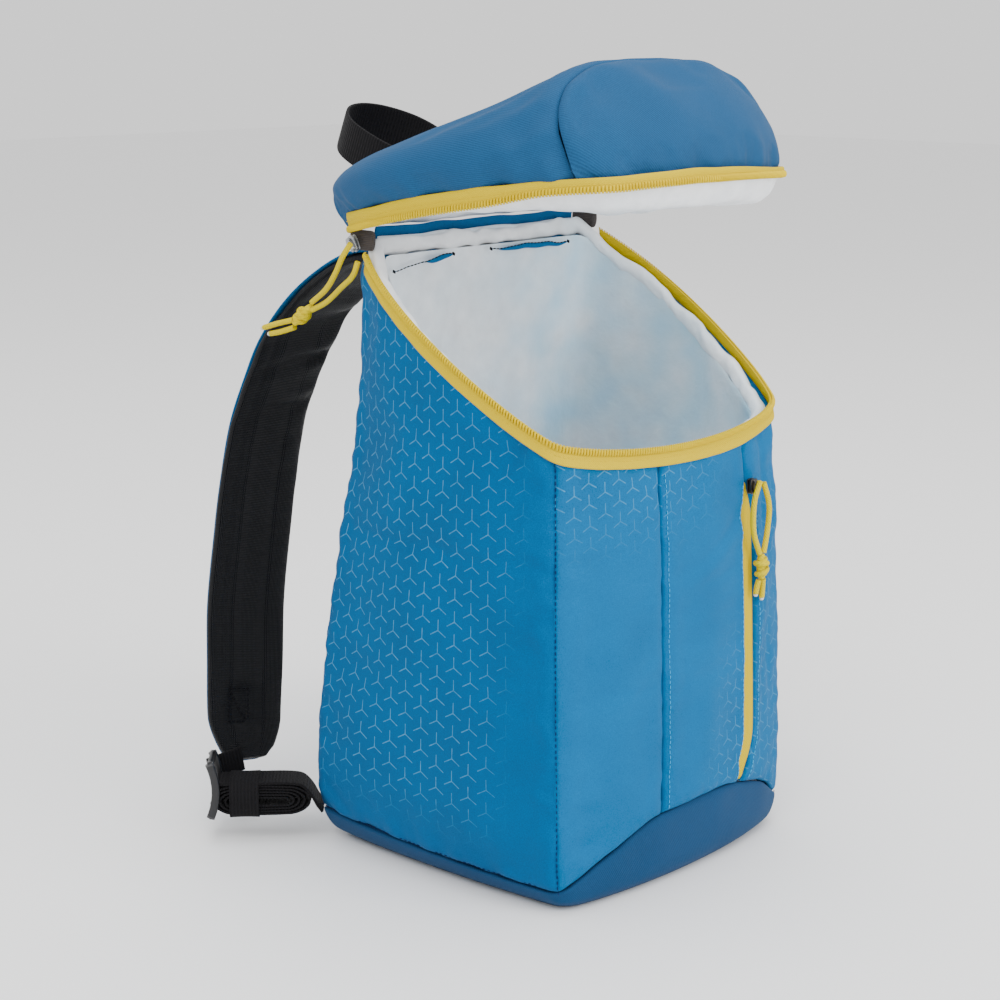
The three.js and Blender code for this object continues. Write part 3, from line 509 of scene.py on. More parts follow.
def strip_rings(path, across, out, width, thick, sides: int = 16, square: float = 0.28) -> np.ndarray:
    """Rings of a flat strip with rounded edges along a path.

    Args:
        path: Middle line in mm.
        across: Directions of its width.
        out: Directions of its thickness.
        width: Width at each point or one for all.
        thick: Thickness at each point or one for all.
        sides: Points in a ring.
        square: How square the section is, from 0 for a box to 1 for an oval.

    Returns:
        Rings by sides by three coordinates.
    """
    angle = circle(sides) + np.pi / sides
    x = rounded(np.cos(angle), square) / 2
    y = rounded(np.sin(angle), square) / 2
    width = np.broadcast_to(np.asarray(width, float), (len(path),))[:, None, None]
    thick = np.broadcast_to(np.asarray(thick, float), (len(path),))[:, None, None]
    section = width * x[None, :, None] * across[:, None] + thick * y[None, :, None] * out[:, None]
    return path[:, None] + section


def ribbon(
    path, across, out, width, thick, sides: int, square: float, half: float = 10.0, turns=None
) -> Patch:
    """Strip of webbing along a path, with its weave laid along it.

    Args:
        path: Middle line in mm.
        across: Directions of its width.
        out: Directions of its thickness.
        width: Its width.
        thick: Its thickness.
        sides: Points in a ring.
        square: How square the section is.
        half: Half of the width that the weave takes.
        turns: Angles that the weave is laid by, one for each side; None takes even ones.

    Returns:
        The patch.
    """
    turns = circle(sides) if turns is None else turns
    patch = Patch()
    flat = paired(half * np.cos(turns)[None, :], run_length(path)[:, None])
    patch.sweep(strip_rings(path, across, out, width, thick, sides, square), flat)
    return patch


def braid(path: np.ndarray, radius, sides: int) -> Patch:
    """Round cord along a path, with its braid laid along it."""
    patch = Patch()
    flat = paired(1.6 * circle(sides)[None, :], run_length(path)[:, None])
    patch.sweep(tube_rings(path, radius, sides), flat)
    return patch


def linear(colour: int, lift: float = 1.0) -> tuple[float, float, float, float]:
    """Linear colour of an sRGB hex colour, made lighter or darker by a factor."""
    parts = [((colour >> shift) & 255) / 255 for shift in (16, 8, 0)]
    curve = [p / 12.92 if p <= 0.04045 else ((p + 0.055) / 1.055) ** 2.4 for p in parts]
    return (*[min(p * lift, 1.0) for p in curve], 1.0)


class Graph:
    """Material under construction, with one short call for each node."""

    def __init__(self, name: str) -> None:
        """Makes an empty node material.

        Args:
            name: The material's name.
        """
        self.material = bpy.data.materials.new(name)
        self.material.use_nodes = True
        self.tree = self.material.node_tree
        self.tree.nodes.clear()

    def add(self, kind: str, values: dict | None = None, **settings):
        """Adds a node, sets its properties and fills or links its inputs.

        Args:
            kind: Node type without its ShaderNode prefix.
            values: Input name or number to a value or another node's socket.
            settings: Node properties.

        Returns:
            The new node.
        """
        node = self.tree.nodes.new("ShaderNode" + kind)
        for key, value in settings.items():
            setattr(node, key, value)
        for key, value in (values or {}).items():
            if isinstance(value, bpy.types.NodeSocket):
                self.tree.links.new(value, node.inputs[key])
            else:
                node.inputs[key].default_value = value
        return node

    def math(self, operation: str, *values, clamp: bool = False):
        """Result of one arithmetic step."""
        node = self.add("Math", dict(enumerate(values)), operation=operation, use_clamp=clamp)
        return node.outputs[0]

    def vector(self, operation: str, *values, output: str = "Vector"):
        """Result of one vector step."""
        return self.add("VectorMath", dict(enumerate(values)), operation=operation).outputs[output]

    def blend(self, share, first, second, mode: str = "MIX"):
        """Colour between two others."""
        values = {"Factor": share, 6: first, 7: second}
        return self.add("Mix", values, data_type="RGBA", blend_type=mode).outputs[2]

    def flat(self):
        """Place on the flat cloth in mm."""
        return self.add("UVMap", uv_map="flat").outputs["UV"]

    def value(self, name: str):
        """Number kept on each point under a name."""
        return self.add("Attribute", attribute_name=name).outputs["Fac"]

    def axes(self) -> tuple:
        """Coordinates in mm across and along the flat cloth."""
        split = self.add("SeparateXYZ", {0: self.flat()})
        return split.outputs[0], split.outputs[1]

    def grain(self, size_mm: float, detail: float = 2.0):
        """Noise with bumps of a size in mm, from 0 to 1."""
        place = self.add("TexCoord").outputs["Object"]
        values = {"Vector": place, "Scale": PER_METRE / size_mm, "Detail": detail}
        return self.add("TexNoise", values).outputs["Fac"]

    def wave(self, coordinate, pitch_mm: float):
        """Ribs along a coordinate in mm, from -1 to 1."""
        return self.math("SINE", self.math("MULTIPLY", coordinate, 2 * math.pi / pitch_mm))

    def bump(self, height, distance_mm: float, strength: float = 1.0, normal=None):
        """Normal turned by a height."""
        values = {"Height": height, "Distance": distance_mm / PER_METRE, "Strength": strength}
        if normal is not None:
            values["Normal"] = normal
        return self.add("Bump", values).outputs["Normal"]

    def finish(self, **inputs) -> bpy.types.Material:
        """Ends the graph in a surface with these inputs and returns the material."""
        names = {key.replace("_", " ").title().replace("Ior", "IOR"): value for key, value in inputs.items()}
        shader = self.add("BsdfPrincipled", names)
        output = self.add("OutputMaterial")
        self.tree.links.new(shader.outputs[0], output.inputs["Surface"])
        return self.material


@dataclass(frozen=True)
class Cloth:
    """Coated polyester canvas: a fine plain weave with a soft sheen and uneven dye."""

    name: str
    colour: int
    grain: float = 0.10
    twill: bool = False
    stars: bool = False
    pitch: float = 12.0

    def star_lines(self, graph: Graph):
        """How much of each place lies on the printed lattice of three-armed stars, from 0 to 1."""
        place = graph.flat()
        period, line = self.pitch, 0.27
        column, arm = period * math.sqrt(3) / 2, period * 0.455
        nearest = None
        for shift in ((0.0, 0.0), (column, period / 2)):
            moved = graph.vector("ADD", place, (shift[0], shift[1], 0.0))
            low = (-column, -period / 2, -1.0)
            local = graph.vector("WRAP", moved, (column, period / 2, 1.0), low)
            for degrees in (90, 210, 330):
                way = (math.cos(math.radians(degrees)), math.sin(math.radians(degrees)), 0.0)
                along = graph.vector("DOT_PRODUCT", local, way, output="Value")
                along = graph.math("MINIMUM", graph.math("MAXIMUM", along, 0.0), arm)
                spot = graph.add("VectorMath", {0: way, "Scale": along}, operation="SCALE").outputs[0]
                distance = graph.vector("DISTANCE", local, spot, output="Value")
                nearest = distance if nearest is None else graph.math("MINIMUM", nearest, distance)
        edge = graph.math("SUBTRACT", line * 1.6, nearest)
        return graph.math("DIVIDE", edge, line, clamp=True)

    def build(self) -> bpy.types.Material:
        """Makes the cloth's node material."""
        graph = Graph(self.name)
        across, along = graph.axes()
        # Speckle of single threads, which the eye reads as canvas
        speck = graph.grain(0.55, 3.0)
        cloud = graph.grain(34.0, 2.0)
        dark = linear(self.colour, 1 - self.grain * 2.2)
        light = linear(self.colour, 1 + self.grain * 2.2)
        colour = graph.blend(graph.math("MULTIPLY_ADD", speck, 1.8, -0.4, clamp=True), dark, light)
        shade = graph.math("MULTIPLY_ADD", cloud, 0.30, 0.85)
        grey = graph.add("CombineColor", {0: shade, 1: shade, 2: shade}).outputs[0]
        colour = graph.blend(1.0, colour, grey, "MULTIPLY")
        if self.twill:
            rib = graph.wave(graph.math("ADD", across, graph.math("MULTIPLY", along, 0.6)), 1.25)
            share = graph.math("MULTIPLY_ADD", rib, 0.17, 0.24)
            colour = graph.blend(share, colour, linear(self.colour, 1.9))
        else:
            rib = graph.math("MULTIPLY", graph.wave(across, 0.62), graph.wave(along, 0.62))
        if self.stars:
            lines = graph.math("MULTIPLY", self.star_lines(graph), graph.value("stars"))
            worn = graph.math("MULTIPLY_ADD", graph.grain(2.2, 1.0), 0.9, 0.12, clamp=True)
            colour = graph.blend(graph.math("MULTIPLY", lines, worn), colour, linear(0x4C92BC))
        height = graph.math("ADD", graph.math("MULTIPLY", rib, 0.5), speck)
        normal = graph.bump(height, 0.10, 0.55)
        # Light catches the coated threads at a low angle
        return graph.finish(
            base_color=colour, roughness=0.66, sheen_weight=0.03, sheen_roughness=0.45,
            specular_ior_level=0.07, normal=normal,
        )


@dataclass(frozen=True)
class Film:
    """Wipe-clean white lining film: satin, faintly creased, with the blue shell showing through."""

    name: str
    colour: int
    through: int = 0xA9D6EE

    def build(self) -> bpy.types.Material:
        """Makes the film's node material."""
        graph = Graph(self.name)
        crease = graph.grain(9.0, 4.0)
        fine = graph.grain(2.4, 3.0)
        patch = graph.grain(26.0, 1.5)
        # Painted shade and light: the film's colour follows its crease bumps, darker in their hollows and
        # lighter on their ridges.
        grey = graph.blend(graph.math("MULTIPLY_ADD", crease, 1.6, -0.45, clamp=True),
                           linear(self.colour, 0.86), linear(self.colour, 1.06))
        cover = graph.math("MULTIPLY_ADD", patch, 1.5, -0.15, clamp=True)
        tint = graph.math("MULTIPLY", graph.value("tint"), cover)
        colour = graph.blend(tint, grey, linear(self.through))
        normal = graph.bump(fine, 0.25, 0.6, graph.bump(crease, 1.1, 0.6))
        return graph.finish(
            base_color=colour, roughness=0.38, specular_ior_level=0.5, coat_weight=0.12,
            coat_roughness=0.3, normal=normal,
        )


@dataclass(frozen=True)
class Woven:
    """Narrow woven goods, such as zip tape and webbing, ribbed across their length."""

    name: str
    colour: int
    rib_mm: float = 1.0
    depth_mm: float = 0.18
    contrast: float = 0.25
    roughness: float = 0.7
    slant: float = 0.35

    def build(self) -> bpy.types.Material:
        """Makes the weave's node material."""
        graph = Graph(self.name)
        across, along = graph.axes()
        rib = graph.wave(graph.math("ADD", along, graph.math("MULTIPLY", across, self.slant)), self.rib_mm)
        cross = graph.wave(across, self.rib_mm * 0.9)
        half = graph.math("MULTIPLY", rib, 0.5)
        weave = graph.math("MULTIPLY_ADD", graph.math("MULTIPLY", rib, cross), 0.25, half)
        fuzz = graph.grain(0.5, 2.0)
        lit = graph.math("MULTIPLY_ADD", weave, 0.5, 0.3)
        share = graph.math("MULTIPLY_ADD", fuzz, 0.4, lit, clamp=True)
        dark, light = linear(self.colour, 1 - self.contrast), linear(self.colour, 1 + self.contrast)
        colour = graph.blend(share, dark, light)
        normal = graph.bump(graph.math("ADD", weave, fuzz), self.depth_mm, 0.7)
        return graph.finish(
            base_color=colour, roughness=self.roughness, sheen_weight=0.02, sheen_roughness=0.4,
            specular_ior_level=0.10, normal=normal,
        )


@dataclass(frozen=True)
class Knit:
    """Spacer mesh: rows of small holes in a black knit."""

    name: str
    colour: int

    def build(self) -> bpy.types.Material:
        """Makes the mesh's node material."""
        graph = Graph(self.name)
        across, along = graph.axes()
        first = graph.wave(graph.math("ADD", across, along), 1.9)
        second = graph.wave(graph.math("SUBTRACT", across, along), 1.9)
        holes = graph.math("MULTIPLY", first, second)
        fuzz = graph.grain(0.7, 2.0)
        lit = graph.math("MULTIPLY_ADD", holes, 0.35, graph.math("MULTIPLY", fuzz, 0.6), clamp=True)
        colour = graph.blend(lit, linear(self.colour, 0.5), linear(self.colour, 2.2))
        normal = graph.bump(graph.math("ADD", holes, fuzz), 0.32, 0.8)
        return graph.finish(
            base_color=colour, roughness=0.48, sheen_weight=0.02, sheen_roughness=0.35,
            specular_ior_level=0.17, normal=normal,
        )


@dataclass(frozen=True)
class Moulded:
    """Moulded black plastic with a faint grain and a painted highlight on its sharp edges."""

    name: str
    colour: int

    def build(self) -> bpy.types.Material:
        """Makes the plastic's node material."""
        graph = Graph(self.name)
        grain = graph.grain(0.4, 2.0)
        smear = graph.grain(7.0, 2.0)
        # Painted highlight: sharp edges, found by pointiness, are mixed towards grey.
        painted_edge_shading = graph.math("GREATER_THAN", graph.add("NewGeometry").outputs["Pointiness"], 0.56)
        colour = graph.blend(graph.math("MULTIPLY", painted_edge_shading, 0.35), linear(self.colour), linear(0x5A5A5C))
        roughness = graph.math("MULTIPLY_ADD", smear, 0.22, 0.26)
        return graph.finish(
            base_color=colour, roughness=roughness, specular_ior_level=0.5,
            normal=graph.bump(grain, 0.05, 0.4),
        )


@dataclass(frozen=True)
class Metal:
    """Die-cast zip metal, plated, with fine tumbling marks."""

    name: str
    colour: int
    roughness: float = 0.28

    def build(self) -> bpy.types.Material:
        """Makes the metal's node material."""
        graph = Graph(self.name)
        marks = graph.grain(0.8, 3.0)
        cloud = graph.grain(3.0, 2.0)
        colour = graph.blend(cloud, linear(self.colour, 0.75), linear(self.colour, 1.15))
        roughness = graph.math("MULTIPLY_ADD", marks, 0.2, self.roughness)
        return graph.finish(
            base_color=colour, metallic=1.0, roughness=roughness, normal=graph.bump(marks, 0.03, 0.5),
        )


FINISHES = {
    # Painted light and shade: the front cloth and the side cloth are one blue shell cloth, with the front
    # copy made lighter and the side copy darker for how light falls on the panels.
    "front_cloth_lit_copy": Cloth("front_cloth_lit_copy", 0x005E91, stars=True, pitch=10.4),
    "side_cloth_shaded_copy": Cloth("side_cloth_shaded_copy", 0x005284, stars=True),
    "navy_cloth": Cloth("navy_cloth", 0x1B4468, grain=0.12, twill=True),
    # Painted shade: the base's cloth is a darker copy of the lid's navy cloth.
    "navy_cloth_shaded_copy": Cloth("navy_cloth_shaded_copy", 0x12385A, grain=0.14, twill=True),
    "film": Film("lining_film", 0xF6F7F9),
    "tape": Woven("zip_tape", 0xCCB000, rib_mm=1.3, depth_mm=0.16, contrast=0.10, slant=1.0),
    "coil": Woven("zip_coil", 0xD2B600, rib_mm=3.0, depth_mm=0.05, contrast=0.05, roughness=0.4),
    "binding": Woven("grey_binding", 0x4A4543, rib_mm=1.0, contrast=0.3),
    "webbing": Woven("black_webbing", 0x131214, rib_mm=1.9, depth_mm=0.35, contrast=0.45, slant=0.0),
    "braid": Woven("braided_cord", 0xD0BA00, rib_mm=1.7, depth_mm=0.3, contrast=0.14, slant=0.9),
    "mesh": Knit("black_mesh", 0x07080C),
    "plastic": Moulded("black_plastic", 0x101012),
    "steel": Metal("slider_plating", 0xB9BBBD),
    "gunmetal": Metal("dark_plating", 0x5A5654),
    "thread_blue": Woven("thread_blue", 0x2FA6DC, rib_mm=0.6, depth_mm=0.05, contrast=0.15),
    "thread_navy": Woven("thread_navy", 0x0C2350, rib_mm=0.6, depth_mm=0.05, contrast=0.2),
    "thread_black": Woven("thread_black", 0x101014, rib_mm=0.6, depth_mm=0.05, contrast=0.3),
    "tip": Moulded("melted_tip", 0xF2F2EC),
}
MATERIALS: dict[str, bpy.types.Material] = {}


def material(key: str) -> bpy.types.Material:
    """The material of a finish, made the first time it is asked for."""
    if key not in MATERIALS:
        MATERIALS[key] = FINISHES[key].build()
    return MATERIALS[key]


def only(piece: bpy.types.Object) -> None:
    """Leaves one object selected and active."""
    bpy.ops.object.select_all(action="DESELECT")
    piece.select_set(True)
    bpy.context.view_layer.objects.active = piece


def make(
    name: str, patch: Patch, finish: str, slot: str, *nodes: str, levels: int = 0, angle: float = 50
) -> bpy.types.Object:
    """Turns a patch into a finished piece that rides on the bag.

    Args:
        name: The piece's name.
        patch: Its points and faces.
        finish: Key of its finish.
        slot: The record's material slot; not used.
        nodes: CAD nodes that it stands for.
        levels: Levels of subdivision.
        angle: Edges sharper than this many degrees stay crisp.

    Returns:
        The new object.
    """
    mesh = bpy.data.meshes.new(name)
    points = (np.vstack(patch.points) + SHIFT) / PER_METRE
    mesh.from_pydata(points.tolist(), [], patch.faces)
    corners = np.empty(len(mesh.loops), dtype=np.int32)
    mesh.loops.foreach_get("vertex_index", corners)
    flat = np.vstack(patch.flat)[corners]
    mesh.uv_layers.new(name="flat").data.foreach_set("uv", flat.ravel())
    for key, kept in patch.values.items():
        value = np.concatenate(kept)
        if value.any():
            mesh.attributes.new(key, "FLOAT", "POINT").data.foreach_set("value", value)
    mesh.materials.append(material(finish))
    piece = bpy.data.objects.new(name, mesh)
    bpy.context.scene.collection.objects.link(piece)
    only(piece)
    bpy.ops.object.mode_set(mode="EDIT")
    bpy.ops.mesh.select_all(action="SELECT")
    bpy.ops.mesh.normals_make_consistent(inside=False)
    bpy.ops.object.mode_set(mode="OBJECT")
    if levels:
        modifier = piece.modifiers.new("smooth", "SUBSURF")
        modifier.levels = levels
        modifier.render_levels = levels
        modifier.uv_smooth = "NONE"
        bpy.ops.object.modifier_apply(modifier=modifier.name)
    bpy.ops.object.shade_smooth_by_angle(angle=math.radians(angle))
    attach(piece, "root")
    if nodes:
        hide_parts(*nodes)
    LOG.info("%s: %d faces", name, len(piece.data.polygons))
    return piece


def relax(grid: np.ndarray, pressure: float, spare: float, cap: float) -> np.ndarray:
    """Settles a padded panel as cloth that is held at its seams and pressed from inside.

    Args:
        grid: Rows by columns of points in mm.
        pressure: Push of the foam behind the cloth.
        spare: Share of cloth that is longer than the space it is sewn into.
        cap: Farthest that a point may move, in mm.

    Returns:
        The settled grid.
    """
    rows, columns = grid.shape[:2]
    mesh = bpy.data.meshes.new("settling")
    index = np.arange(rows * columns).reshape(rows, columns)
    mesh.from_pydata((grid.reshape(-1, 3) / PER_METRE).tolist(), [], grid_faces(rows, columns))
    cloth = bpy.data.objects.new("settling", mesh)
    bpy.context.scene.collection.objects.link(cloth)
    held = cloth.vertex_groups.new(name="held")
    edge = np.ones((rows, columns), bool)
    edge[1:-1, 1:-1] = False
    held.add(index[edge].tolist(), 1.0, "REPLACE")
    only(cloth)
    modifier = cloth.modifiers.new("settle", "CLOTH")
    settings = modifier.settings
    settings.vertex_group_mass = "held"
    settings.use_pressure = True
    settings.uniform_pressure_force = pressure
    settings.shrink_min = -spare
    settings.effector_weights.gravity = 0
    settings.tension_stiffness = 20
    settings.bending_stiffness = 1.2
    settings.air_damping = 3
    modifier.collision_settings.use_collision = False
    scene = bpy.context.scene
    for step in range(SETTLE_FRAMES):
        scene.frame_set(step + 1)
    settled = cloth.evaluated_get(bpy.context.evaluated_depsgraph_get()).to_mesh()
    places = np.empty(len(settled.vertices) * 3)
    settled.vertices.foreach_get("co", places)
    cloth.to_mesh_clear()
    bpy.data.objects.remove(cloth)
    scene.frame_set(1)
    move = places.reshape(rows, columns, 3) * PER_METRE - grid
    far = np.linalg.norm(move, axis=-1, keepdims=True)
    return grid + move * (cap * np.tanh(far / cap) / np.maximum(far, 1e-6))


@dataclass
class Studio:
    """Camera, pale floor and soft light."""

    azimuth: float = -47.0
    elevation: float = 12.6
    distance: float = 1105.0
    lens: float = 77.8
    target: tuple[float, float, float] = (-62.3, -75.0, 198.6)

    def camera(self) -> None:
        """Places the camera as the photograph was taken."""
        turn, rise = math.radians(self.azimuth), math.radians(self.elevation)
        way = np.array([math.sin(turn) * math.cos(rise), -math.cos(turn) * math.cos(rise), math.sin(rise)])
        target = np.array(self.target) + SHIFT
        data = bpy.data.cameras.new("camera")
        data.lens = self.lens
        data.sensor_width = 36
        data.clip_end = 20
        camera = bpy.data.objects.new("camera", data)
        camera.location = Vector((target + way * self.distance) / PER_METRE)
        camera.rotation_euler = Vector(-way).to_track_quat("-Z", "Y").to_euler()
        bpy.context.scene.collection.objects.link(camera)
        bpy.context.scene.camera = camera

    def lamp(self, name: str, place, aim, size: float, power: float) -> None:
        """Adds a soft square light.

        Args:
            name: Its name.
            place: Where it hangs, in metres.
            aim: Where it points.
            size: Side in metres.
            power: Watts.
        """
        data = bpy.data.lights.new(name, "AREA")
        data.size = size
        data.energy = power
        lamp = bpy.data.objects.new(name, data)
        lamp.location = place
        lamp.rotation_euler = (Vector(aim) - Vector(place)).to_track_quat("-Z", "Y").to_euler()
        bpy.context.scene.collection.objects.link(lamp)

    def floor(self) -> None:
        """Adds a plain pale floor."""
        bpy.ops.mesh.primitive_plane_add(size=12, location=(0, 0, -0.0006))
        floor = bpy.context.active_object
        floor.name = "floor"
        graph = Graph("floor")
        floor.data.materials.append(graph.finish(base_color=(0.93, 0.93, 0.93, 1), roughness=0.6))

    def build(self) -> None:
        """Makes the camera, the floor and every light."""
        self.camera()
        self.floor()
        self.lamp("key", (-1.3, -0.9, 1.9), (0, 0, 0.2), 1.4, 30)
        self.lamp("front", (0.5, -2.0, 1.1), (0, 0, 0.2), 1.2, 26)
        self.lamp("top", (0.1, 0.1, 2.2), (0, 0, 0.2), 1.2, 22)
        world = bpy.data.worlds.new("studio")
        world.use_nodes = True
        inputs = world.node_tree.nodes["Background"].inputs
        inputs["Color"].default_value = (1, 1, 1, 1)
        inputs["Strength"].default_value = 1.15
        bpy.context.scene.world = world


@dataclass(frozen=True)
class Dent:
    """Soft fold in a wall: where it runs, how long and wide it is, and how deep (+ is out)."""

    across: float
    up: float
    degrees: float
    length: float
    width: float
    depth: float

    def at(self, u: np.ndarray, v: np.ndarray) -> np.ndarray:
        """Depth in mm at places on the flat wall."""
        turn = math.radians(self.degrees)
        along = (u - self.across) * math.cos(turn) + (v - self.up) * math.sin(turn)
        beside = (v - self.up) * math.cos(turn) - (u - self.across) * math.sin(turn)
        return 1.5 * self.depth * np.exp(-((along / self.length) ** 2) - (beside / self.width) ** 2)


def seam_relief(u: np.ndarray, v: np.ndarray, near: np.ndarray, seed: int, gather: float) -> np.ndarray:
    """How a padded wall dips into a seam and puckers beside it.

    Args:
        u: Places across the wall in mm.
        v: Places up the wall in mm.
        near: Distance to the nearest seam in mm.
        seed: Number that fixes the puckers.
        gather: Height of the puckers in mm.

    Returns:
        Relief in mm, outwards.
    """
    dip = -1.5 * bell(near, 1.9)
    roll = 0.9 * bell(near - 7, 5)
    slant = noise(u + 0.5 * v, 0.9 * v - 0.5 * u, 7, seed) + 0.6 * noise(u * 0.45, v, 5, seed + 1)
    pucker = gather * slant * bell(near, 13)
    return dip + roll + pucker


def pocket_line(up: np.ndarray) -> np.ndarray:
    """Share of the front that the pocket zip runs at, which curves to the left at its lower end."""
    return POCKET_LINE - 0.045 * (1 - ease(0, 0.16, up))


@dataclass(frozen=True)
class Wall:
    """One sewn panel of the body between two seams."""

    name: str
    node: str
    panel: Panel
    start: float
    end: float
    columns: int
    seed: int
    finish: str = "side_cloth_shaded_copy"
    dents: tuple[Dent, ...] = ()
    rows: int = 96
    pocket_start: bool = False
    pocket_end: bool = False

    def slot(self, up: np.ndarray) -> np.ndarray:
        """Half of the pocket slot's width in mm at a share of the height."""
        return POCKET_SLOT / 2 * np.clip(np.minimum(0.3 + up * 10, (POCKET_END - up) * 10), 0, 1)

    def edges(self, up: np.ndarray, span: np.ndarray) -> tuple[np.ndarray, np.ndarray]:
        """Shares of the panel's two edges at a share of its height."""
        slot = self.slot(up) / span
        start = pocket_line(up) + slot if self.pocket_start else self.start + 0 * up
        return start, pocket_line(up) - slot if self.pocket_end else self.end + 0 * up

    def star_field(self, x: np.ndarray, z: np.ndarray, share: np.ndarray) -> np.ndarray:
        """How strongly the printed pattern shows, from 0 to 1."""
        if self.panel in (Panel.LEFT, Panel.RIGHT):
            forward = share if self.panel is Panel.LEFT else 1 - share
            lean = 0.97 - 0.10 * ease(240, 60, z)
            field = 0.95 * (1 - ease(lean - 0.16, lean, forward)) * ease(20, 62, z)
            return field * (1 - 0.35 * ease(0.5, 0.95, forward))
        if self.panel is Panel.BACK:
            return np.zeros_like(x)
        top = ease(168, 225, z) * (1 - ease(-30, 40, x)) * 0.95
        low = ease(2, 38, x - (z - 90) * 0.22) * ease(28, 48, z) * (1 - ease(95, 150, z)) * 0.75
        side = ease(50, 60, x) * (1 - ease(165, 220, z)) * 0.65
        return np.clip(np.maximum(np.maximum(top, low), side), 0, 1)

    def build(self) -> bpy.types.Object:
        """Makes the panel as a padded sheet."""
        up = np.linspace(0, 1, self.rows)[:, None]
        across = np.linspace(0, 1, self.columns)[None, :]
        middle = np.array([FRONT_HEIGHT / 2])
        ends = [wall_point(self.panel, np.array([s]), middle)[0] for s in (0.0, 1.0)]
        span = float(np.linalg.norm(ends[0] - ends[1]))
        start, end = self.edges(up, span)
        share = mix(start, end, across)
        low = base_seam_at(self.panel, share)
        height = mix(low, rim_at(self.panel, share) - WALL_TOP, up)
        outer = wall_point(self.panel, share, height)
        u, v = share * span, height
        first, second = (share - start) * span, (end - share) * span
        flap = np.full_like(u, FAR)
        if self.pocket_start or self.pocket_end:
            flap = first if self.pocket_start else second
            flap = np.where(up < POCKET_END, flap, FAR)
        near = np.minimum(np.where(first == flap, FAR, first), np.where(second == flap, FAR, second))
        near = np.minimum(near, (height - low) * 1.1)
        top = rim_at(self.panel, share) - WALL_TOP - height
        outer = relax(outer, 1.2, 0.006, 2.4)
        relief = seam_relief(u, v, near, self.seed, 0.4 if self.panel is Panel.FRONT else 1.25)
        relief += 0.9 * bell(flap - 3.5, 3.5) - 0.5 * bell(flap, 1.0)
        relief += 0.9 * noise(u, v * 0.6, 38, self.seed + 3) * ease(0, 25, near)
        relief += 0.35 * noise(u * 1.4, v * 0.5, 15, self.seed + 5) * ease(60, 0, top)
        for dent in self.dents:
            relief += dent.at(u, v)
        relief = np.minimum(relief, mix(0.1, 9.0, ease(3, 14, top)))
        normal = surface_normals(outer)
        if np.sum(normal * (outer - outer.mean(axis=(0, 1)) * [0, 0, 1])) < 0:
            normal = -normal
        skin = outer + normal * relief[..., None]
        SKINS[self.name] = (first, second, skin)
        back = outer - normal * (WALL - 1.2)
        patch = Patch()
        stars = self.star_field(outer[..., 0], outer[..., 2], share)
        patch.sheet(skin, back, flat=paired(u, v), stars=stars)
        piece = make(self.name, patch, self.finish, "blue_cloth", self.node, levels=1, angle=70)
        return piece


SKINS: dict[str, tuple[np.ndarray, np.ndarray, np.ndarray]] = {}


def skin_line(name: str, away: float, low: int = 2, high: int = -3, from_end: bool = False) -> np.ndarray:
    """Line up a finished panel's surface, at a distance in mm from one of its edges.

    Args:
        name: The panel's name.
        away: Distance from the edge.
        low: First row of the panel's grid.
        high: Last row.
        from_end: Whether the distance is from its right edge.

    Returns:
        Points in mm, upwards.
    """
    first, second, skin = SKINS[name]
    lines = []
    for first_row, second_row, row in zip(first[low:high], second[low:high], skin[low:high]):
        places = second_row[::-1] if from_end else first_row
        points = row[::-1] if from_end else row
        lines.append([np.interp(away, places, points[:, axis]) for axis in range(3)])
    return np.array(lines)


SIDE_DENTS = (
    Dent(139, 232, 52, 13, 3.2, -1.6),
    Dent(146, 205, 60, 10, 3.0, 0.9),
    Dent(148, 150, 40, 7, 2.6, -0.8),
    Dent(146, 118, 35, 9, 3.0, -0.9),
    Dent(144, 62, 30, 12, 3.4, 0.8),
    Dent(147, 44, 38, 10, 3.0, -0.9),
    Dent(60, 190, 84, 60, 22, 0.9),
    Dent(100, 90, 70, 55, 24, -0.8),
    Dent(30, 60, 80, 40, 16, 0.6),
)
FRONT_DENTS = (
    Dent(14, 34, 12, 9, 3.0, -1.2),
    Dent(20, 205, 105, 16, 4.0, -0.7),
    Dent(12, 150, 80, 30, 4.5, 0.6),
    Dent(34, 120, 95, 60, 12, 0.5),
)
MIDDLE_DENTS = (
    Dent(118, 178, 26, 24, 4.0, -1.0),
    Dent(108, 166, 22, 26, 5.0, 0.8),
    Dent(92, 206, 60, 18, 6.0, -0.5),
    Dent(96, 74, 75, 40, 12, 0.6),
)
RIGHT_DENTS = (
    Dent(162, 190, 92, 34, 3.6, -1.3),
    Dent(157, 140, 80, 24, 4.0, 0.9),
    Dent(163, 100, 96, 24, 3.6, -0.9),
)
# The front walls take the lighter copy of the blue cloth and the other walls the darker copy: painted light
# and painted shade.
WALLS = (
    Wall("left_shell", "side_panel_left", Panel.LEFT, 0, 1, 60, 11, dents=SIDE_DENTS),
    Wall("right_shell", "side_panel_right", Panel.RIGHT, 0, 1, 42, 12),
    Wall("back_shell", "back_panel", Panel.BACK, 0, 1, 40, 13),
    Wall("front_left_shell", "front_panel_left", Panel.FRONT, 0, CENTRE_SEAM, 28, 14,
         "front_cloth_lit_copy", FRONT_DENTS),
    Wall("front_middle_shell", "front_panel_middle", Panel.FRONT, CENTRE_SEAM, POCKET_LINE, 34, 15,
         "front_cloth_lit_copy", MIDDLE_DENTS, pocket_end=True),
    Wall("front_right_shell", "front_panel_right", Panel.FRONT, POCKET_LINE, 1, 22, 16,
         "front_cloth_lit_copy", RIGHT_DENTS, pocket_start=True),
)


def body_places(per_panel: int) -> tuple[list[Panel], np.ndarray]:
    """Panels and shares of places all round the body."""
    panels = [panel for panel in Panel for _ in range(per_panel)]
    return panels, np.tile(np.arange(per_panel) / per_panel, len(Panel))


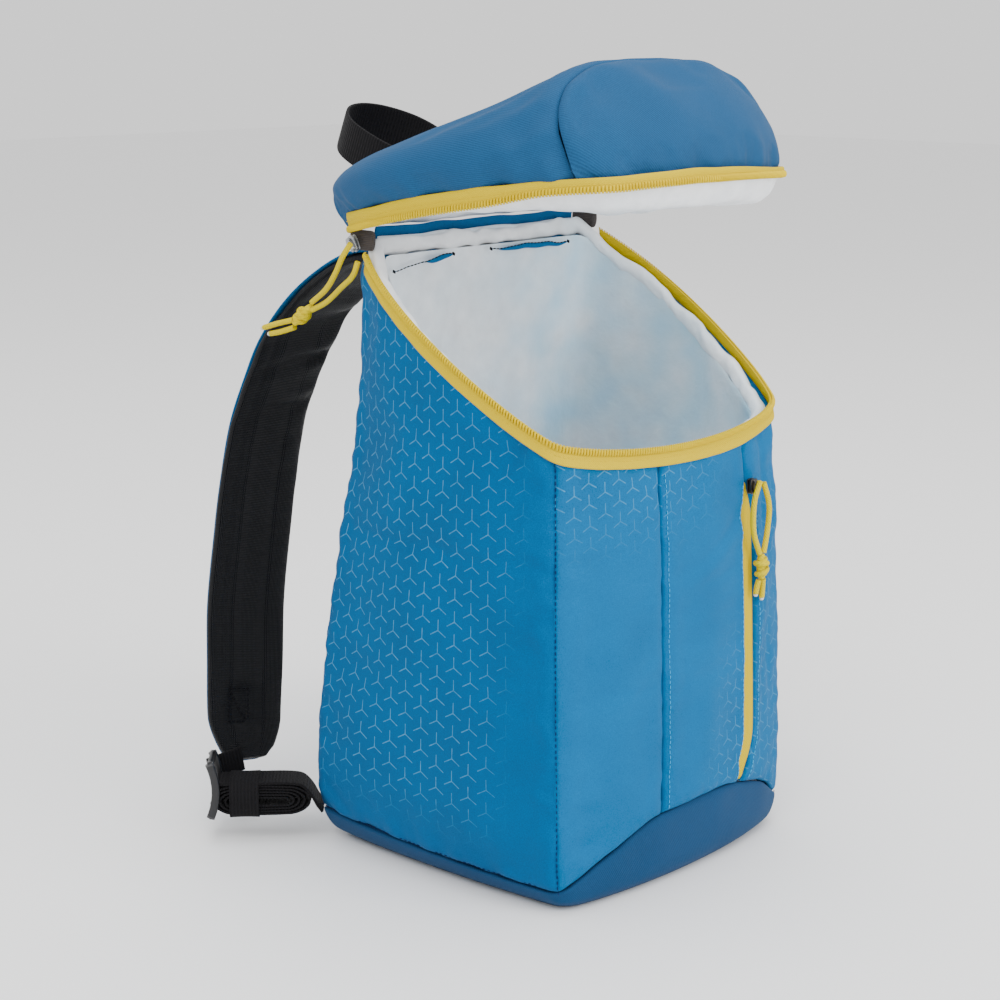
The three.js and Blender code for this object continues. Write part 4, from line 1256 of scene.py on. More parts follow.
def around(
    panels: Sequence[Panel], shares: np.ndarray, function: Callable[[Panel, np.ndarray], np.ndarray]
) -> np.ndarray:
    """Values of a function of panel and share at places on several panels, panel after panel."""
    stretches = [[i for i, p in enumerate(panels) if p is panel] for panel in Panel]
    return np.concatenate([
        function(panel, shares[index]) for panel, index in zip(Panel, stretches) if index
    ])


def rim_line(offset, inset, per_panel: int = 60, closed: bool = False) -> np.ndarray:
    """Line along the mouth, from the zip's left end round the front to its right end.

    Args:
        offset: Height over the rim in mm.
        inset: Distance in from the walls' outside.
        per_panel: Steps on each panel.
        closed: Whether it runs on round the back.

    Returns:
        Points in mm.
    """
    if closed:
        panels, shares = body_places(per_panel)
    else:
        steps = np.linspace(0, 1, per_panel + 1)
        panels = [Panel.LEFT] * per_panel + [Panel.FRONT] * per_panel + [Panel.RIGHT] * (per_panel + 1)
        shares = np.concatenate([
            mix(ZIP_START, 1, steps[:-1]), steps[:-1], mix(0, 1 - ZIP_START, steps),
        ])
    return around(panels, shares, lambda panel, share: wall_point(
        panel, share, rim_at(panel, share) + offset, inset))


@dataclass
class Base:
    """Dark base boot: a shallow cup with a raised crescent at the front."""

    per_panel: int = 40

    def build(self) -> None:
        """Makes the cup."""
        panels, shares = body_places(self.per_panel)
        ups = [1, 0.985, 0.95, 0.86, 0.74, 0.6, 0.46, 0.34, 0.24, 0.16, 0.1, 0.05, 0.02, 0.0]

        def loop(up: float, inset: float, floor: float) -> np.ndarray:
            """Loop of the cup at a share of its height."""
            def place(panel: Panel, share: np.ndarray) -> np.ndarray:
                """Points of one panel's stretch."""
                seam = base_seam_at(panel, share)
                height = mix(floor, seam, up)
                return wall_point(panel, share, height, inset)
            return around(panels, shares, place)

        outer = np.stack([loop(up, 1.5 * math.exp(-((1 - up) / 0.03) ** 2), 0.0) for up in ups])
        inner = np.stack([loop(up, 4.0, 4.0) for up in ups])
        length = np.linalg.norm(np.diff(outer[0], axis=0, append=outer[0][:1]), axis=1)
        u = np.tile(np.concatenate([[0], np.cumsum(length)[:-1]]), (len(ups), 1))
        seam_wave = 0.5 * noise(u, outer[..., 2], 16, 31) * (outer[..., 2:3] > 2)[..., 0]
        corner = np.abs(u - u[:, self.per_panel : self.per_panel + 1])
        seam_wave += 0.9 * noise(u, outer[..., 2], 4.5, 32) * bell(corner, 11)
        seam_wave -= 1.6 * bell(corner, 1.6)
        away = unit(outer * LEVEL)
        outer = outer + away * seam_wave[..., None]
        middle = np.array([0, -20, 0])
        floor_rings = [0.86, 0.6, 0.3]
        rings = [mix(middle, outer[-1], s) * LEVEL for s in floor_rings]
        outer = np.concatenate([outer, np.stack(rings)])
        rings = [mix(middle, inner[-1], s) * LEVEL + [0, 0, 4.0] for s in floor_rings]
        inner = np.concatenate([inner, np.stack(rings)])
        flat_wall = paired(u, outer[: len(ups), :, 2])
        flat = np.concatenate([flat_wall, outer[len(ups):, :, :2]])
        patch = Patch()
        patch.sheet(outer, inner, loop=True, flat=flat, tips=True)
        # The base takes the darker copy of the navy cloth: painted shade.
        piece = make("base_boot", patch, "navy_cloth_shaded_copy", "navy_cloth", "base_panel", levels=1, angle=60)


@dataclass
class Lining:
    """White film cup inside the walls, with its rolled hem along the mouth."""

    per_panel: int = 28

    def cup(self) -> None:
        """Makes the cup."""
        panels, shares = body_places(self.per_panel)
        ups = np.linspace(1, 0, 34)

        def loop(up: float, inset: float) -> np.ndarray:
            """Loop of the lining at a share of the wall's height."""
            def place(panel: Panel, share: np.ndarray) -> np.ndarray:
                """Points of one panel's stretch, with its creases."""
                low = 12.0
                height = mix(low, rim_at(panel, share) - HEM_DROP - 2, up)
                u = share * 160 + 200 * list(Panel).index(panel)
                crease = 1.3 * noise(u, height, 22, 41) + 0.7 * noise(u + height, height, 9, 42)
                crease = crease * ease(0, 0.08, share) * ease(1, 0.92, share)
                return wall_point(panel, share, height, inset + np.maximum(1.2 + crease, 0))
            return around(panels, shares, place)

        outer = np.stack([loop(up, 6.0) for up in ups])
        inner = np.stack([loop(up, 7.0) for up in ups])
        rings_out, rings_in = [], []
        for share in (0.9, 0.6, 0.3):
            middle = np.array([0, -20, 0])
            rings_out.append(mix(middle, outer[-1], share) * LEVEL + [0, 0, 5.0])
            rings_in.append(mix(middle, inner[-1], share) * LEVEL + [0, 0, 6.2])
        outer = np.concatenate([outer, np.stack(rings_out)])
        inner = np.concatenate([inner, np.stack(rings_in)])
        tint = 0.25 + 0.75 * ease(-20, 70, outer[..., 0]) * ease(40, 200, outer[..., 2])
        tint = tint * (1 - 0.9 * ease(0, 24, outer[..., 1]))
        patch = Patch()
        patch.sheet(outer, inner, loop=True, tips=True, tint=tint)
        piece = make("lining_cup", patch, "film", "lining_film", "lining", levels=1, angle=60)

    def hem(self) -> None:
        """Makes the rolled hem: a soft, wavy fold of film."""
        path = rim_line(-8.6, 3.0, 60, closed=True)
        length = np.linalg.norm(np.diff(path, axis=0, append=path[:1]), axis=1)
        u = np.concatenate([[0], np.cumsum(length)[:-1]])
        inward = unit((np.array([0, -45, 0]) - path) * LEVEL)
        angle = circle(14)
        # The folds fade out where the roll's ends are joined
        joined = ease(0, 14, u) * ease(0, 14, u[-1] - u)
        wave = (1.2 * noise(u, 0 * u, 8, 51) + 0.8 * noise(u, 0 * u, 19, 52)) * joined
        lean = 0.9 * noise(u, 0 * u + 9, 11, 53) * joined
        wide = 4.0 + 0.8 * noise(u, 0 * u + 5, 9, 54) * joined
        tall = 4.6 + 1.1 * noise(u, 0 * u + 7, 13, 55) * joined
        rise = wave * 0.8 + 4.6 * ease(-16, -3, path[:, 1])
        centre = path + inward * (2.4 + lean)[:, None] + np.outer(rise, [0, 0, 1])
        rings = (
            centre[:, None]
            + inward[:, None] * (wide[:, None] * np.cos(angle))[..., None]
            + (tall[:, None] * np.sin(angle))[..., None] * UP
        )
        crinkle = 0.9 * noise(u[:, None] + 0 * angle, 6 * angle[None, :] + 0 * u[:, None], 4.2, 56)
        rings = rings + inward[:, None] * crinkle[..., None]
        tint = np.broadcast_to((0.35 * ease(30, 80, path[:, 0]))[:, None], rings.shape[:2])
        patch = Patch()
        faces = grid_faces(*rings.shape[:2], loop=True, ring=True)
        patch.add(rings, faces, paired(u[:, None], 4 * angle), tint=tint)
        piece = make("rim_roll", patch, "film", "lining_film", "rim_hem", levels=1, angle=70)

    def slits(self) -> None:
        """Makes two slits in the back of the film, with the blue shell in them and black stitches."""
        shell, thread = Patch(), Patch()
        slits = (((-74, 311.5), (-30, 316.8), 0.55), ((-1, 317.0), (62, 316.4), 0.1))
        for start, end, part in slits:
            at = np.linspace(0, 1, 40)
            x, z = mix(start[0], end[0], at), mix(start[1], end[1], at)
            z = z + 0.6 * noise(x, 0 * x, 9, 57)
            path = np.stack([x, np.full_like(x, -11.0), z], axis=1)
            across = np.tile(UP, (40, 1))
            out = np.tile([0.0, -1.0, 0.0], (40, 1))
            tall = 0.3 + 2.6 * np.clip(np.sin(np.pi * np.clip((at - part) / (1 - part), 0, 1)), 0, 1) ** 0.6
            shell.sweep(strip_rings(path, across, out, tall, 0.5, 8, 0.5))
            line = path + np.stack([0 * x, np.full_like(x, -0.3), tall / 2], axis=1)
            stitches(thread, line, out, 2.2, 0.5, 0.7)
            for end_at in (0, -1):
                knot = line[end_at] + np.outer([-1.2, 0, 1.2], [0.6, 0, -0.8])
                thread.sweep(tube_rings(knot, np.array([0.3, 0.9, 0.3]), 6))
        make("slit_shell", shell, "front_cloth_lit_copy", "blue_cloth", angle=60)
        make("slit_threads", thread, "thread_black", "black_webbing", angle=70)

    def build(self) -> None:
        """Makes the cup, its hem and its slits."""
        self.cup()
        self.hem()
        self.slits()


def coil_teeth(patch: Patch, path: np.ndarray, out: np.ndarray, up: np.ndarray) -> None:
    """Adds a row of coil turns that lie across a tape's edge.

    Args:
        patch: Patch to add them to.
        path: Line of their middles in mm.
        out: Directions that they stand out in.
        up: Directions across the tape.
    """
    path, out, up = resample(path, COIL_PITCH, out, up)
    along = tangents(path)
    out = unit(out)
    up = unit(up)
    profile = ((-0.5, 0.0), (-0.42, 0.7), (-0.15, 1.0), (0.15, 1.0), (0.42, 0.7), (0.5, 0.0))
    for place, way, normal, rise in zip(path, along, out, up):
        points = []
        for side, lift in profile:
            for edge in (-1, 0, 1):
                round_off = 0.62 if edge else 1.0
                points.append(
                    place + rise * side * COIL_LENGTH + normal * COIL_HEIGHT * lift * round_off
                    + way * edge * COIL_PITCH * 0.36 + way * side * COIL_PITCH * 0.3
                )
        count = len(profile)
        for side, _ in profile:
            points.append(place + rise * side * COIL_LENGTH - normal * 0.35 + way * side * COIL_PITCH * 0.3)
        faces = []
        for i in range(count - 1):
            for edge in (0, 1):
                a = i * 3 + edge
                faces.append((a, a + 1, a + 4, a + 3))
            faces.append((3 * i + 3, 3 * count + i + 1, 3 * count + i, 3 * i))
            faces.append((3 * i + 2, 3 * count + i, 3 * count + i + 1, 3 * i + 5))
        faces.append((1, 0, 3 * count, 2))
        last = 3 * (count - 1)
        faces.append((last, last + 1, last + 2, 3 * count + count - 1))
        patch.add(np.array(points), faces)


def stitches(patch: Patch, path: np.ndarray, out: np.ndarray, length: float = 2.0, space: float = 0.9,
             width: float = 0.42) -> None:
    """Adds a row of thread stitches that lie on a surface.

    Args:
        patch: Patch to add them to.
        path: Line that they follow in mm.
        out: Directions out of the surface.
        length: Length of a stitch.
        space: Space between stitches.
        width: Thickness of the thread.
    """
    path, out = resample(path, length + space, out)
    along = tangents(path)
    out = unit(out)
    side = unit(np.cross(along, out))
    angle = circle(6)
    profile = ((-0.5, 0.25, -0.3), (-0.3, 1.0, 0.15), (0.3, 1.0, 0.15), (0.5, 0.25, -0.3))
    for place, way, normal, across in zip(path[:-1], along[:-1], out[:-1], side[:-1]):
        rings = []
        for at, radius, lift in profile:
            centre = place + way * at * length + normal * lift * width
            rings.append(centre + (width / 2) * radius * (
                np.cos(angle)[:, None] * across + np.sin(angle)[:, None] * normal))
        patch.sweep(np.stack(rings))


def outward(panel_points: np.ndarray) -> np.ndarray:
    """Level directions away from the middle of the bag."""
    return unit((panel_points - np.array([0, -45, 0])) * LEVEL)


def rim_normals(path: np.ndarray) -> np.ndarray:
    """Level directions square to a rim, away from the bag."""
    return unit(np.cross(tangents(path) * LEVEL, UP))


def zip_half(name: str, node: str, tape: Patch, teeth: np.ndarray, seam: np.ndarray, out, up) -> None:
    """Makes one half of the main zip: tape, coil and stitches.

    Args:
        name: Start of the pieces' names.
        node: Start of the CAD nodes' names.
        tape: The tape's patch.
        teeth: Line of the coil's middles.
        seam: Line of the stitches.
        out: Directions out of the tape.
        up: Directions across it.
    """
    make(f"{name}_tape", tape, "tape", "yellow_tape", f"{node}_zip_tape", levels=1, angle=60)
    coil, thread = Patch(), Patch()
    coil_teeth(coil, teeth, out, up)
    make(f"{name}_coil", coil, "coil", "yellow_tape", f"{node}_zip_teeth", angle=80)
    stitches(thread, seam, out, 1.6, 0.8, 0.34)
    make(f"{name}_stitches", thread, "coil", "yellow_tape", angle=80)


@dataclass
class MouthZip:
    """Zip half around the mouth: standing tape with coil turns along its upper edge."""

    per_panel: int = 70

    def build(self) -> None:
        """Makes the tape, the coil and the line of stitches below it."""
        rows = []
        heights = [-9.6, -9.2, -7.6, -5.2, -3.0, -1.2, -0.2, 0.0]
        stand = [1.7, 2.1, 2.0, 1.5, 1.0, 0.8, 0.7, 0.5]
        base = rim_line(0, 0, self.per_panel)
        normal = rim_normals(base)
        length = run_length(base)
        sway = 0.5 * noise(length, 0 * length, 24, 61)
        frill = 0.45 * noise(length, 0 * length, 9, 62)
        for height, out in zip(heights, stand):
            loose = min(-height / 9.0, 1.0)
            line = rim_line(height, 0, self.per_panel)
            line = line + normal * (out - 0.4 + frill * loose * 0.6 + sway * 0.4)[:, None]
            rows.append(line + np.outer(sway * loose, UP))
        outer = np.stack(rows)
        tape = Patch()
        tape.sheet(outer, outer - normal * TAPE_THICK, flat=paired(np.array(heights)[:, None], length))
        up = np.tile(UP, (len(base), 1))
        zip_half("mouth", "body", tape, outer[5] + normal * 0.15, outer[3] + normal * 0.05, normal, up)


@dataclass
class PocketZip:
    """Closed pocket zip between its two flaps, seen from the smooth back of its tape."""

    def build(self) -> None:
        """Makes the tape, its middle ridge and the top stitching on both flaps."""
        up = np.linspace(0.01, POCKET_END - 0.005, 60)[:, None]
        share = pocket_line(up)
        height = mix(base_seam_at(Panel.FRONT, share), rim_at(Panel.FRONT, share) - WALL_TOP, up)
        across = np.linspace(-0.5, 0.5, 15)[None, :]
        width = np.minimum(11.6, 4.0 + 10 * np.minimum(up, POCKET_END - up) * 10)
        span = 2 * HALF_WIDTH * 0.98
        offset = across * width
        groove = 0.35 * bell(np.abs(offset) - 1.8, 0.5)
        ridge = 0.55 * bell(offset, 1.1) - groove
        outer = wall_point(Panel.FRONT, share + offset / span, height, 0.7 - ridge)
        inner = wall_point(Panel.FRONT, share + offset / span, height, 2.6)
        patch = Patch()
        patch.sheet(outer, inner, flat=paired(offset, height))
        nodes = ("pocket_zip_tape", "pocket_zip_teeth")
        make("pocket_tape", patch, "tape", "yellow_tape", *nodes, levels=1, angle=60)
        thread = Patch()
        for line in (
            skin_line("front_middle_shell", 3.4, high=84, from_end=True),
            skin_line("front_right_shell", 3.0, high=84),
            skin_line("front_middle_shell", 3.4),
        ):
            stitches(thread, line + outward(line) * 0.15, outward(line), 1.9, 0.8, 0.42)
        make("front_stitches", thread, "thread_blue", "blue_cloth", angle=80)


def lid_to_bag(points: np.ndarray) -> np.ndarray:
    """Points of the lid's own frame set in the bag's."""
    c, s = math.cos(LID_PITCH), math.sin(LID_PITCH)
    x, y, z = points[..., 0], points[..., 1], points[..., 2]
    return np.stack([x, c * y - s * z + LID_SETBACK, s * y + c * z + HINGE_HEIGHT + LID_LIFT], axis=-1)


def lid_rim_point(panel: Panel, share, inset, height) -> np.ndarray:
    """Points of the mouth's outline laid flat in the lid's own frame."""
    share = np.asarray(share, float)
    x, y = plan(panel, share, rim_at(panel, share), inset)
    forward = np.clip(-y / DEPTH, 0, 1)
    x, y, z = np.broadcast_arrays(
        x * (1 - LID_TAPER * forward**2), y / math.cos(RIM_TILT), height - LID_FRONT_DROP * forward**3
    )
    return np.stack([x, y, z], axis=-1)


RIM_LENGTH = float((HINGE_HEIGHT - rim_at(Panel.LEFT, np.array([1.0]))[0]) / math.sin(RIM_TILT))


def lid_point(along: np.ndarray, turn: np.ndarray, inset: float = 0.0) -> np.ndarray:
    """Points of the lid's saddle: along from the hinge, turn from left to right."""
    along, turn = np.broadcast_arrays(np.asarray(along, float), np.asarray(turn, float))
    square = LID_RIBS.read("square", along)
    rim = LID_RIBS.read("rim", along)
    angle = np.pi * turn
    lift = np.maximum(np.sin(angle), 0) ** square
    out = rounded(np.cos(angle), square)
    share = np.clip(rim, 0, 1)
    height = LID_RIBS.read("foot", along) * (LID_TAPE_WIDTH + GAP)
    edge = lid_rim_point(Panel.LEFT, share, inset, height)
    puff = LID_RIBS.read("puff", along) * LID_SIDE_BULGE * 4 * lift * (1 - lift)
    back = mix(rim, LID_RIBS.read("crown", along), lift) * RIM_LENGTH
    pull = inset * (1 - 2 * along) * lift
    top = LID_RIBS.read("height", along) * LID_HEIGHT - inset
    edge[..., 2] -= 2.2 * ease(0.72, 1.0, -edge[..., 1] / DEPTH) * (turn > 0.5)
    return np.stack([(edge[..., 0] - puff) * out, -back - pull, mix(edge[..., 2], top, lift)], axis=-1)


def lid_tape_height(points: np.ndarray, share: float) -> np.ndarray:
    """Height over the lid's rim of a place on its tape, which is narrower along the front.

    Args:
        points: Points on the rim.
        share: Place across the tape, 0 at its lower edge and 1 at its upper.

    Returns:
        Height in mm.
    """
    front = ease(0.72, 1.0, -points[..., 1] / DEPTH)
    return mix(2.8 * front, LID_TAPE_TOP - 2.2 * front * ease(-10, 70, points[..., 0]), share)


def lid_turns() -> np.ndarray:
    """Places over the lid from left to right, closer together near its sides."""
    even = np.linspace(0, 1, 81)[None, :]
    return mix(even, 0.5 - 0.5 * np.cos(np.pi * even), 0.8)


@dataclass
class Lid:
    """Domed lid standing open: saddle, arched front, zip half, lining and stitches."""

    def panel(self, name: str, node: str, outer, normal, relief, flat) -> None:
        """Makes one padded panel of the lid.

        Args:
            name: The piece's name.
            node: CAD node that it stands for.
            outer: Grid of points in the lid's own frame.
            normal: Directions out of it.
            relief: Height of its folds in mm.
            flat: Places on the flat cloth.
        """
        skin = outer + normal * relief[..., None]
        inner = outer - normal * (LID_WALL - 1.5)
        patch = Patch()
        patch.sheet(lid_to_bag(skin), lid_to_bag(inner), flat=flat)
        piece = make(name, patch, "navy_cloth", "navy_cloth", node, levels=1, angle=60)

    def top(self) -> None:
        """Makes the saddle over the top and sides."""
        along = np.linspace(0, 1, 70)[:, None]
        turn = lid_turns()
        outer = lid_point(along, turn)
        outer = relax(outer, 1.5, 0.006, 2.2)
        normal = surface_normals(outer)
        if np.sum(normal[35, 40] * [0, 0, 1]) < 0:
            normal = -normal
        u = run_length(outer, 1)
        v = along * RIM_LENGTH * 1.1 + 0 * turn
        foot = np.minimum(u, u[:, -1:] - u)
        front = (1 - along) * RIM_LENGTH + 0 * turn
        relief = -1.6 * bell(front, 2.4) + 0.7 * bell(front - 8, 5)
        gathers = noise(v, 0 * v, 6.5, 71) * bell(foot, 16) * ease(0.2, 0.6, along)
        relief += -0.5 * bell(foot, 2.5) + 1.9 * gathers
        relief += 0.9 * noise(v * 0.5, u, 9, 74) * bell(front, 14) * ease(0, 8, front)
        relief += 1.5 * noise(u, v, 34, 72) * ease(0, 20, foot) + 0.5 * noise(u, v, 14, 73)
        self.panel("lid_shell", "lid_top_panel", outer, normal, relief, paired(u, v))

    def front(self) -> None:
        """Makes the arched front."""
        up = np.linspace(0, 1, 44)[:, None]
        turn = lid_turns()
        foot = lid_rim_point(Panel.FRONT, turn, 2.0, 0.0)
        foot[..., 2] += lid_tape_height(foot, 0.82)
        crown = lid_point(np.ones_like(turn), turn)
        outer = mix(foot, crown, up[..., None])
        outer[..., 1] -= (LID_FRONT_BULGE + 3) * (4 * up * (1 - up)) ** 0.8 * np.sin(np.pi * turn) ** 0.7
        outer = relax(outer, 1.5, 0.008, 2.5)
        normal = surface_normals(outer)
        if normal[20, 40, 1] > 0:
            normal = -normal
        u = outer[..., 0]
        v = run_length(outer)
        top = v[-1:] - v
        relief = -1.7 * bell(top, 2.4) + 0.6 * bell(top - 8, 5)
        relief += -0.4 * bell(v, 2.5)
        folds = noise(u, v * 0.12, 10, 81) * bell(v, 22)
        relief += 2.0 * folds + 1.7 * noise(u + 0.5 * v, v * 0.4, 24, 82) * ease(0, 14, top)
        relief += 0.8 * noise(u, v, 13, 83) * bell(top, 12)
        relief *= ease(0, 0.05, turn) * ease(1, 0.95, turn)
        self.panel("lid_front", "lid_front_panel", outer, normal, relief, paired(u, v))

    def line(self, height: float) -> np.ndarray:
        """Line along the lid's rim, from the left end of its zip to the right."""
        part = np.linspace(0, 1, 71)
        left = lid_rim_point(Panel.LEFT, mix(ZIP_START * 0.3, 1, part[:-1]), 0, 0.0)
        front = lid_rim_point(Panel.FRONT, part[:-1], 0, 0.0)
        right = lid_rim_point(Panel.RIGHT, mix(0, 1 - ZIP_START * 0.3, part), 0, 0.0)
        line = np.concatenate([left, front, right])
        line[:, 2] += lid_tape_height(line, height / LID_TAPE_TOP)
        return line

    def zip_half(self) -> None:
        """Makes the lid's tape and coil."""
        base = self.line(0)
        normal = rim_normals(base)
        length = run_length(base)
        frill = 0.5 * noise(length, 0 * length, 17, 91)
        rows = []
        heights = [0.0, 0.3, 1.4, 3.2, 5.2, 7.2, 9.0, 9.6]
        stand = [0.7, 1.0, 1.2, 1.4, 1.7, 1.9, 1.7, 1.3]
        for height, out in zip(heights, stand):
            line = self.line(height) + normal * (out - 0.3)
            rows.append(line + np.outer(frill * (0.3 + 0.5 * height / 9), UP))
        outer = np.stack(rows)
        flat = paired(np.array(heights)[:, None], length)
        tape = Patch()
        tape.sheet(lid_to_bag(outer), lid_to_bag(outer - normal * TAPE_THICK), flat=flat)
        up = np.tile(UP, (len(base), 1))
        turn = lid_to_bag(up) - lid_to_bag(0 * up)
        lean = lid_to_bag(normal) - lid_to_bag(0 * normal)
        teeth, seam = outer[1] + [0, 0, 0.9], outer[4] + normal * 0.05
        zip_half("lid", "lid", tape, lid_to_bag(teeth), lid_to_bag(seam), lean, turn)

    def lining(self) -> None:
        """Makes the loose lining under the lid."""
        panels, shares = body_places(34)
        depth = Table("at back front", (0, 0.02, 0.02), (0.1, 0.06, -0.12), (0.3, 0.16, -0.12),
                      (0.6, 0.22, 0.02), (1.0, 0.22, 0.22))
        ats = np.array([0, 0.02, 0.05, 0.09, 0.14, 0.2, 0.27, 0.35, 0.45, 0.56, 0.68, 0.8, 0.9, 0.97])

        def loop(at: float, drop: float) -> np.ndarray:
            """Loop of the lining at a share of the way in."""
            def place(panel: Panel, share: np.ndarray) -> np.ndarray:
                """Points of one panel's stretch, with its wrinkles."""
                rim = lid_rim_point(panel, share, 1.0, 0.0)
                forward = np.clip(-rim[..., 1] / RIM_LENGTH, 0, 1)
                height = mix(depth.read("back", at), depth.read("front", at), forward**2) * LID_HEIGHT
                dip = rim[..., 2] * (1 - at)
                point = mix(rim, np.array([0, -RIM_LENGTH / 2, 0]), at * 0.94)
                u = share * 170 + 210 * list(Panel).index(panel)
                wrinkle = 1.5 * noise(u, 0 * u + at * 30, 9, 95) + 1.2 * noise(u, 0 * u + at * 60, 24, 96)
                wrinkle = wrinkle * ease(0, 0.1, at) * (1 - 0.6 * at)
                seat = 4.0 * (1 - ease(0, 0.05, at))
                point[..., 2] = height + dip + wrinkle + seat - drop
                return point
            return around(panels, shares, place)

        outer = np.stack([loop(float(at), 0.0) for at in ats])
        inner = np.stack([loop(float(at), 1.2) for at in ats])
        patch = Patch()
        tint = np.full(outer.shape[:2], 0.12)
        patch.sheet(lid_to_bag(outer), lid_to_bag(inner), loop=True, tips=True, tint=tint)
        piece = make("lid_liner", patch, "film", "lining_film", "lid_lining", levels=1, angle=70)

    def build(self) -> None:
        """Makes every piece of the lid."""
        self.top()
        self.front()
        self.zip_half()
        self.lining()


@dataclass
class Hinge:
    """Cloth hinge: a folded strip of film with the shell's blue cloth behind it, and two end tabs.

    Attributes:
        tab_profile: Place, share of the width and thickness at steps up an end tab.
    """

    tab_profile: tuple[tuple[float, float, float], ...] = (
        (-1, 0.72, 0.5), (-0.9, 0.9, 1.3), (-0.3, 1.0, 1.9), (0.4, 1.0, 1.9), (0.9, 0.95, 1.3), (1, 0.8, 0.5),
    )

    def strip(self, name: str, finish: str, low: float, high: float, forward: float, *node: str) -> None:
        """Makes one strip between the back wall's top and the lid's back edge.

        Args:
            name: Piece name.
            finish: Key of its finish.
            low: Height of its lower edge over the hinge, in mm.
            high: Height of its upper edge.
            forward: How far in front of the back wall it bows.
            node: CAD nodes that it stands for.
        """
        across = np.linspace(-0.93, 0.93, 60)[None, :] * HINGE_SPAN
        up = np.linspace(0, 1, 10)[:, None]
        height = HINGE_HEIGHT + mix(low, high, up) + 0.8 * noise(across, 0 * across, 15, 101)
        bow = forward * (0.3 + 0.7 * np.sin(np.pi * up))
        bow = bow + 0.25 * abs(forward) * noise(across, up * 20 + 0 * across, 13, 102)
        outer = paired(across, -2.0 - bow, height)
        inner = outer + np.array([0, 1.3, 0])
        patch = Patch()
        patch.sheet(outer, inner, tint=0.3 + 0 * across + 0 * up)
        piece = make(name, patch, finish, "lining_film", *node, levels=1, angle=60)

    def tab(self, side: int) -> None:
        """Makes one end tab: a small folded piece of grey binding."""
        name = "left" if side < 0 else "right"
        low, high = box_corners(f"zip_end_tab_{name}")
        middle = (low + high) / 2
        angle = circle(16)
        rings = []
        for at, width, thick in self.tab_profile:
            centre = middle + UP * at * (high[2] - low[2]) / 2
            x = rounded(np.cos(angle), 0.5) * (high[1] - low[1]) / 2 * width
            y = rounded(np.sin(angle), 0.5) * thick
            rings.append(centre + np.stack([y, x, 0 * x], axis=-1))
        patch = Patch()
        patch.sweep(np.stack(rings))
        make(f"end_tab_{name}", patch, "binding", "grey_binding", f"zip_end_tab_{name}", levels=1, angle=60)

    def build(self) -> None:
        """Makes the strips and both tabs."""
        self.strip("hinge_fold", "film", -9.0, 1.0, 3.4, "lid_hinge")
        self.strip("hinge_cloth", "side_cloth_shaded_copy", -4.8, 6.0, -1.1)
        self.tab(-1)
        self.tab(1)


@dataclass
class Handle:
    """Loop of ribbed webbing sewn to the lid's back end."""

    span: float = 44.0
    reach: float = 56.0
    rise: float = 38.0
    web: float = 22.0
    thick: float = 2.4

    def build(self) -> None:
        """Makes the loop."""
        rib = 0.22
        square = float(LID_RIBS.read("square", np.array([1 / 7]))[0])
        turn = math.acos((self.span / 2 / HALF_WIDTH) ** (1 / square)) / math.pi
        foot = lid_point(np.array([rib]), np.array([turn]))[0] + [0, 1.4, 0]
        shape = ((0, 1.0), (0.35, 1.25), (0.72, 1.15), (0.94, 0.6), (1, 0))
        rows = [(reach, -out) for reach, out in shape] + [(reach, out) for reach, out in reversed(shape[:-1])]
        points = np.array([
            [out * self.span / 2, foot[1] + reach * self.reach, foot[2] + reach * self.rise]
            for reach, out in rows
        ])
        path = lid_to_bag(spline(points, np.linspace(0, 1, 90)))
        way = lid_to_bag(np.array([0, -self.rise, self.reach])) - lid_to_bag(np.zeros(3))
        side = np.tile(unit(way), (len(path), 1))
        out = unit(np.cross(tangents(path), side))
        patch = ribbon(path, side, out, self.web, self.thick * 0.8, 16, 0.22, half=self.web / 2)
        make("handle_loop", patch, "webbing", "black_webbing", "grab_handle", levels=1, angle=60)


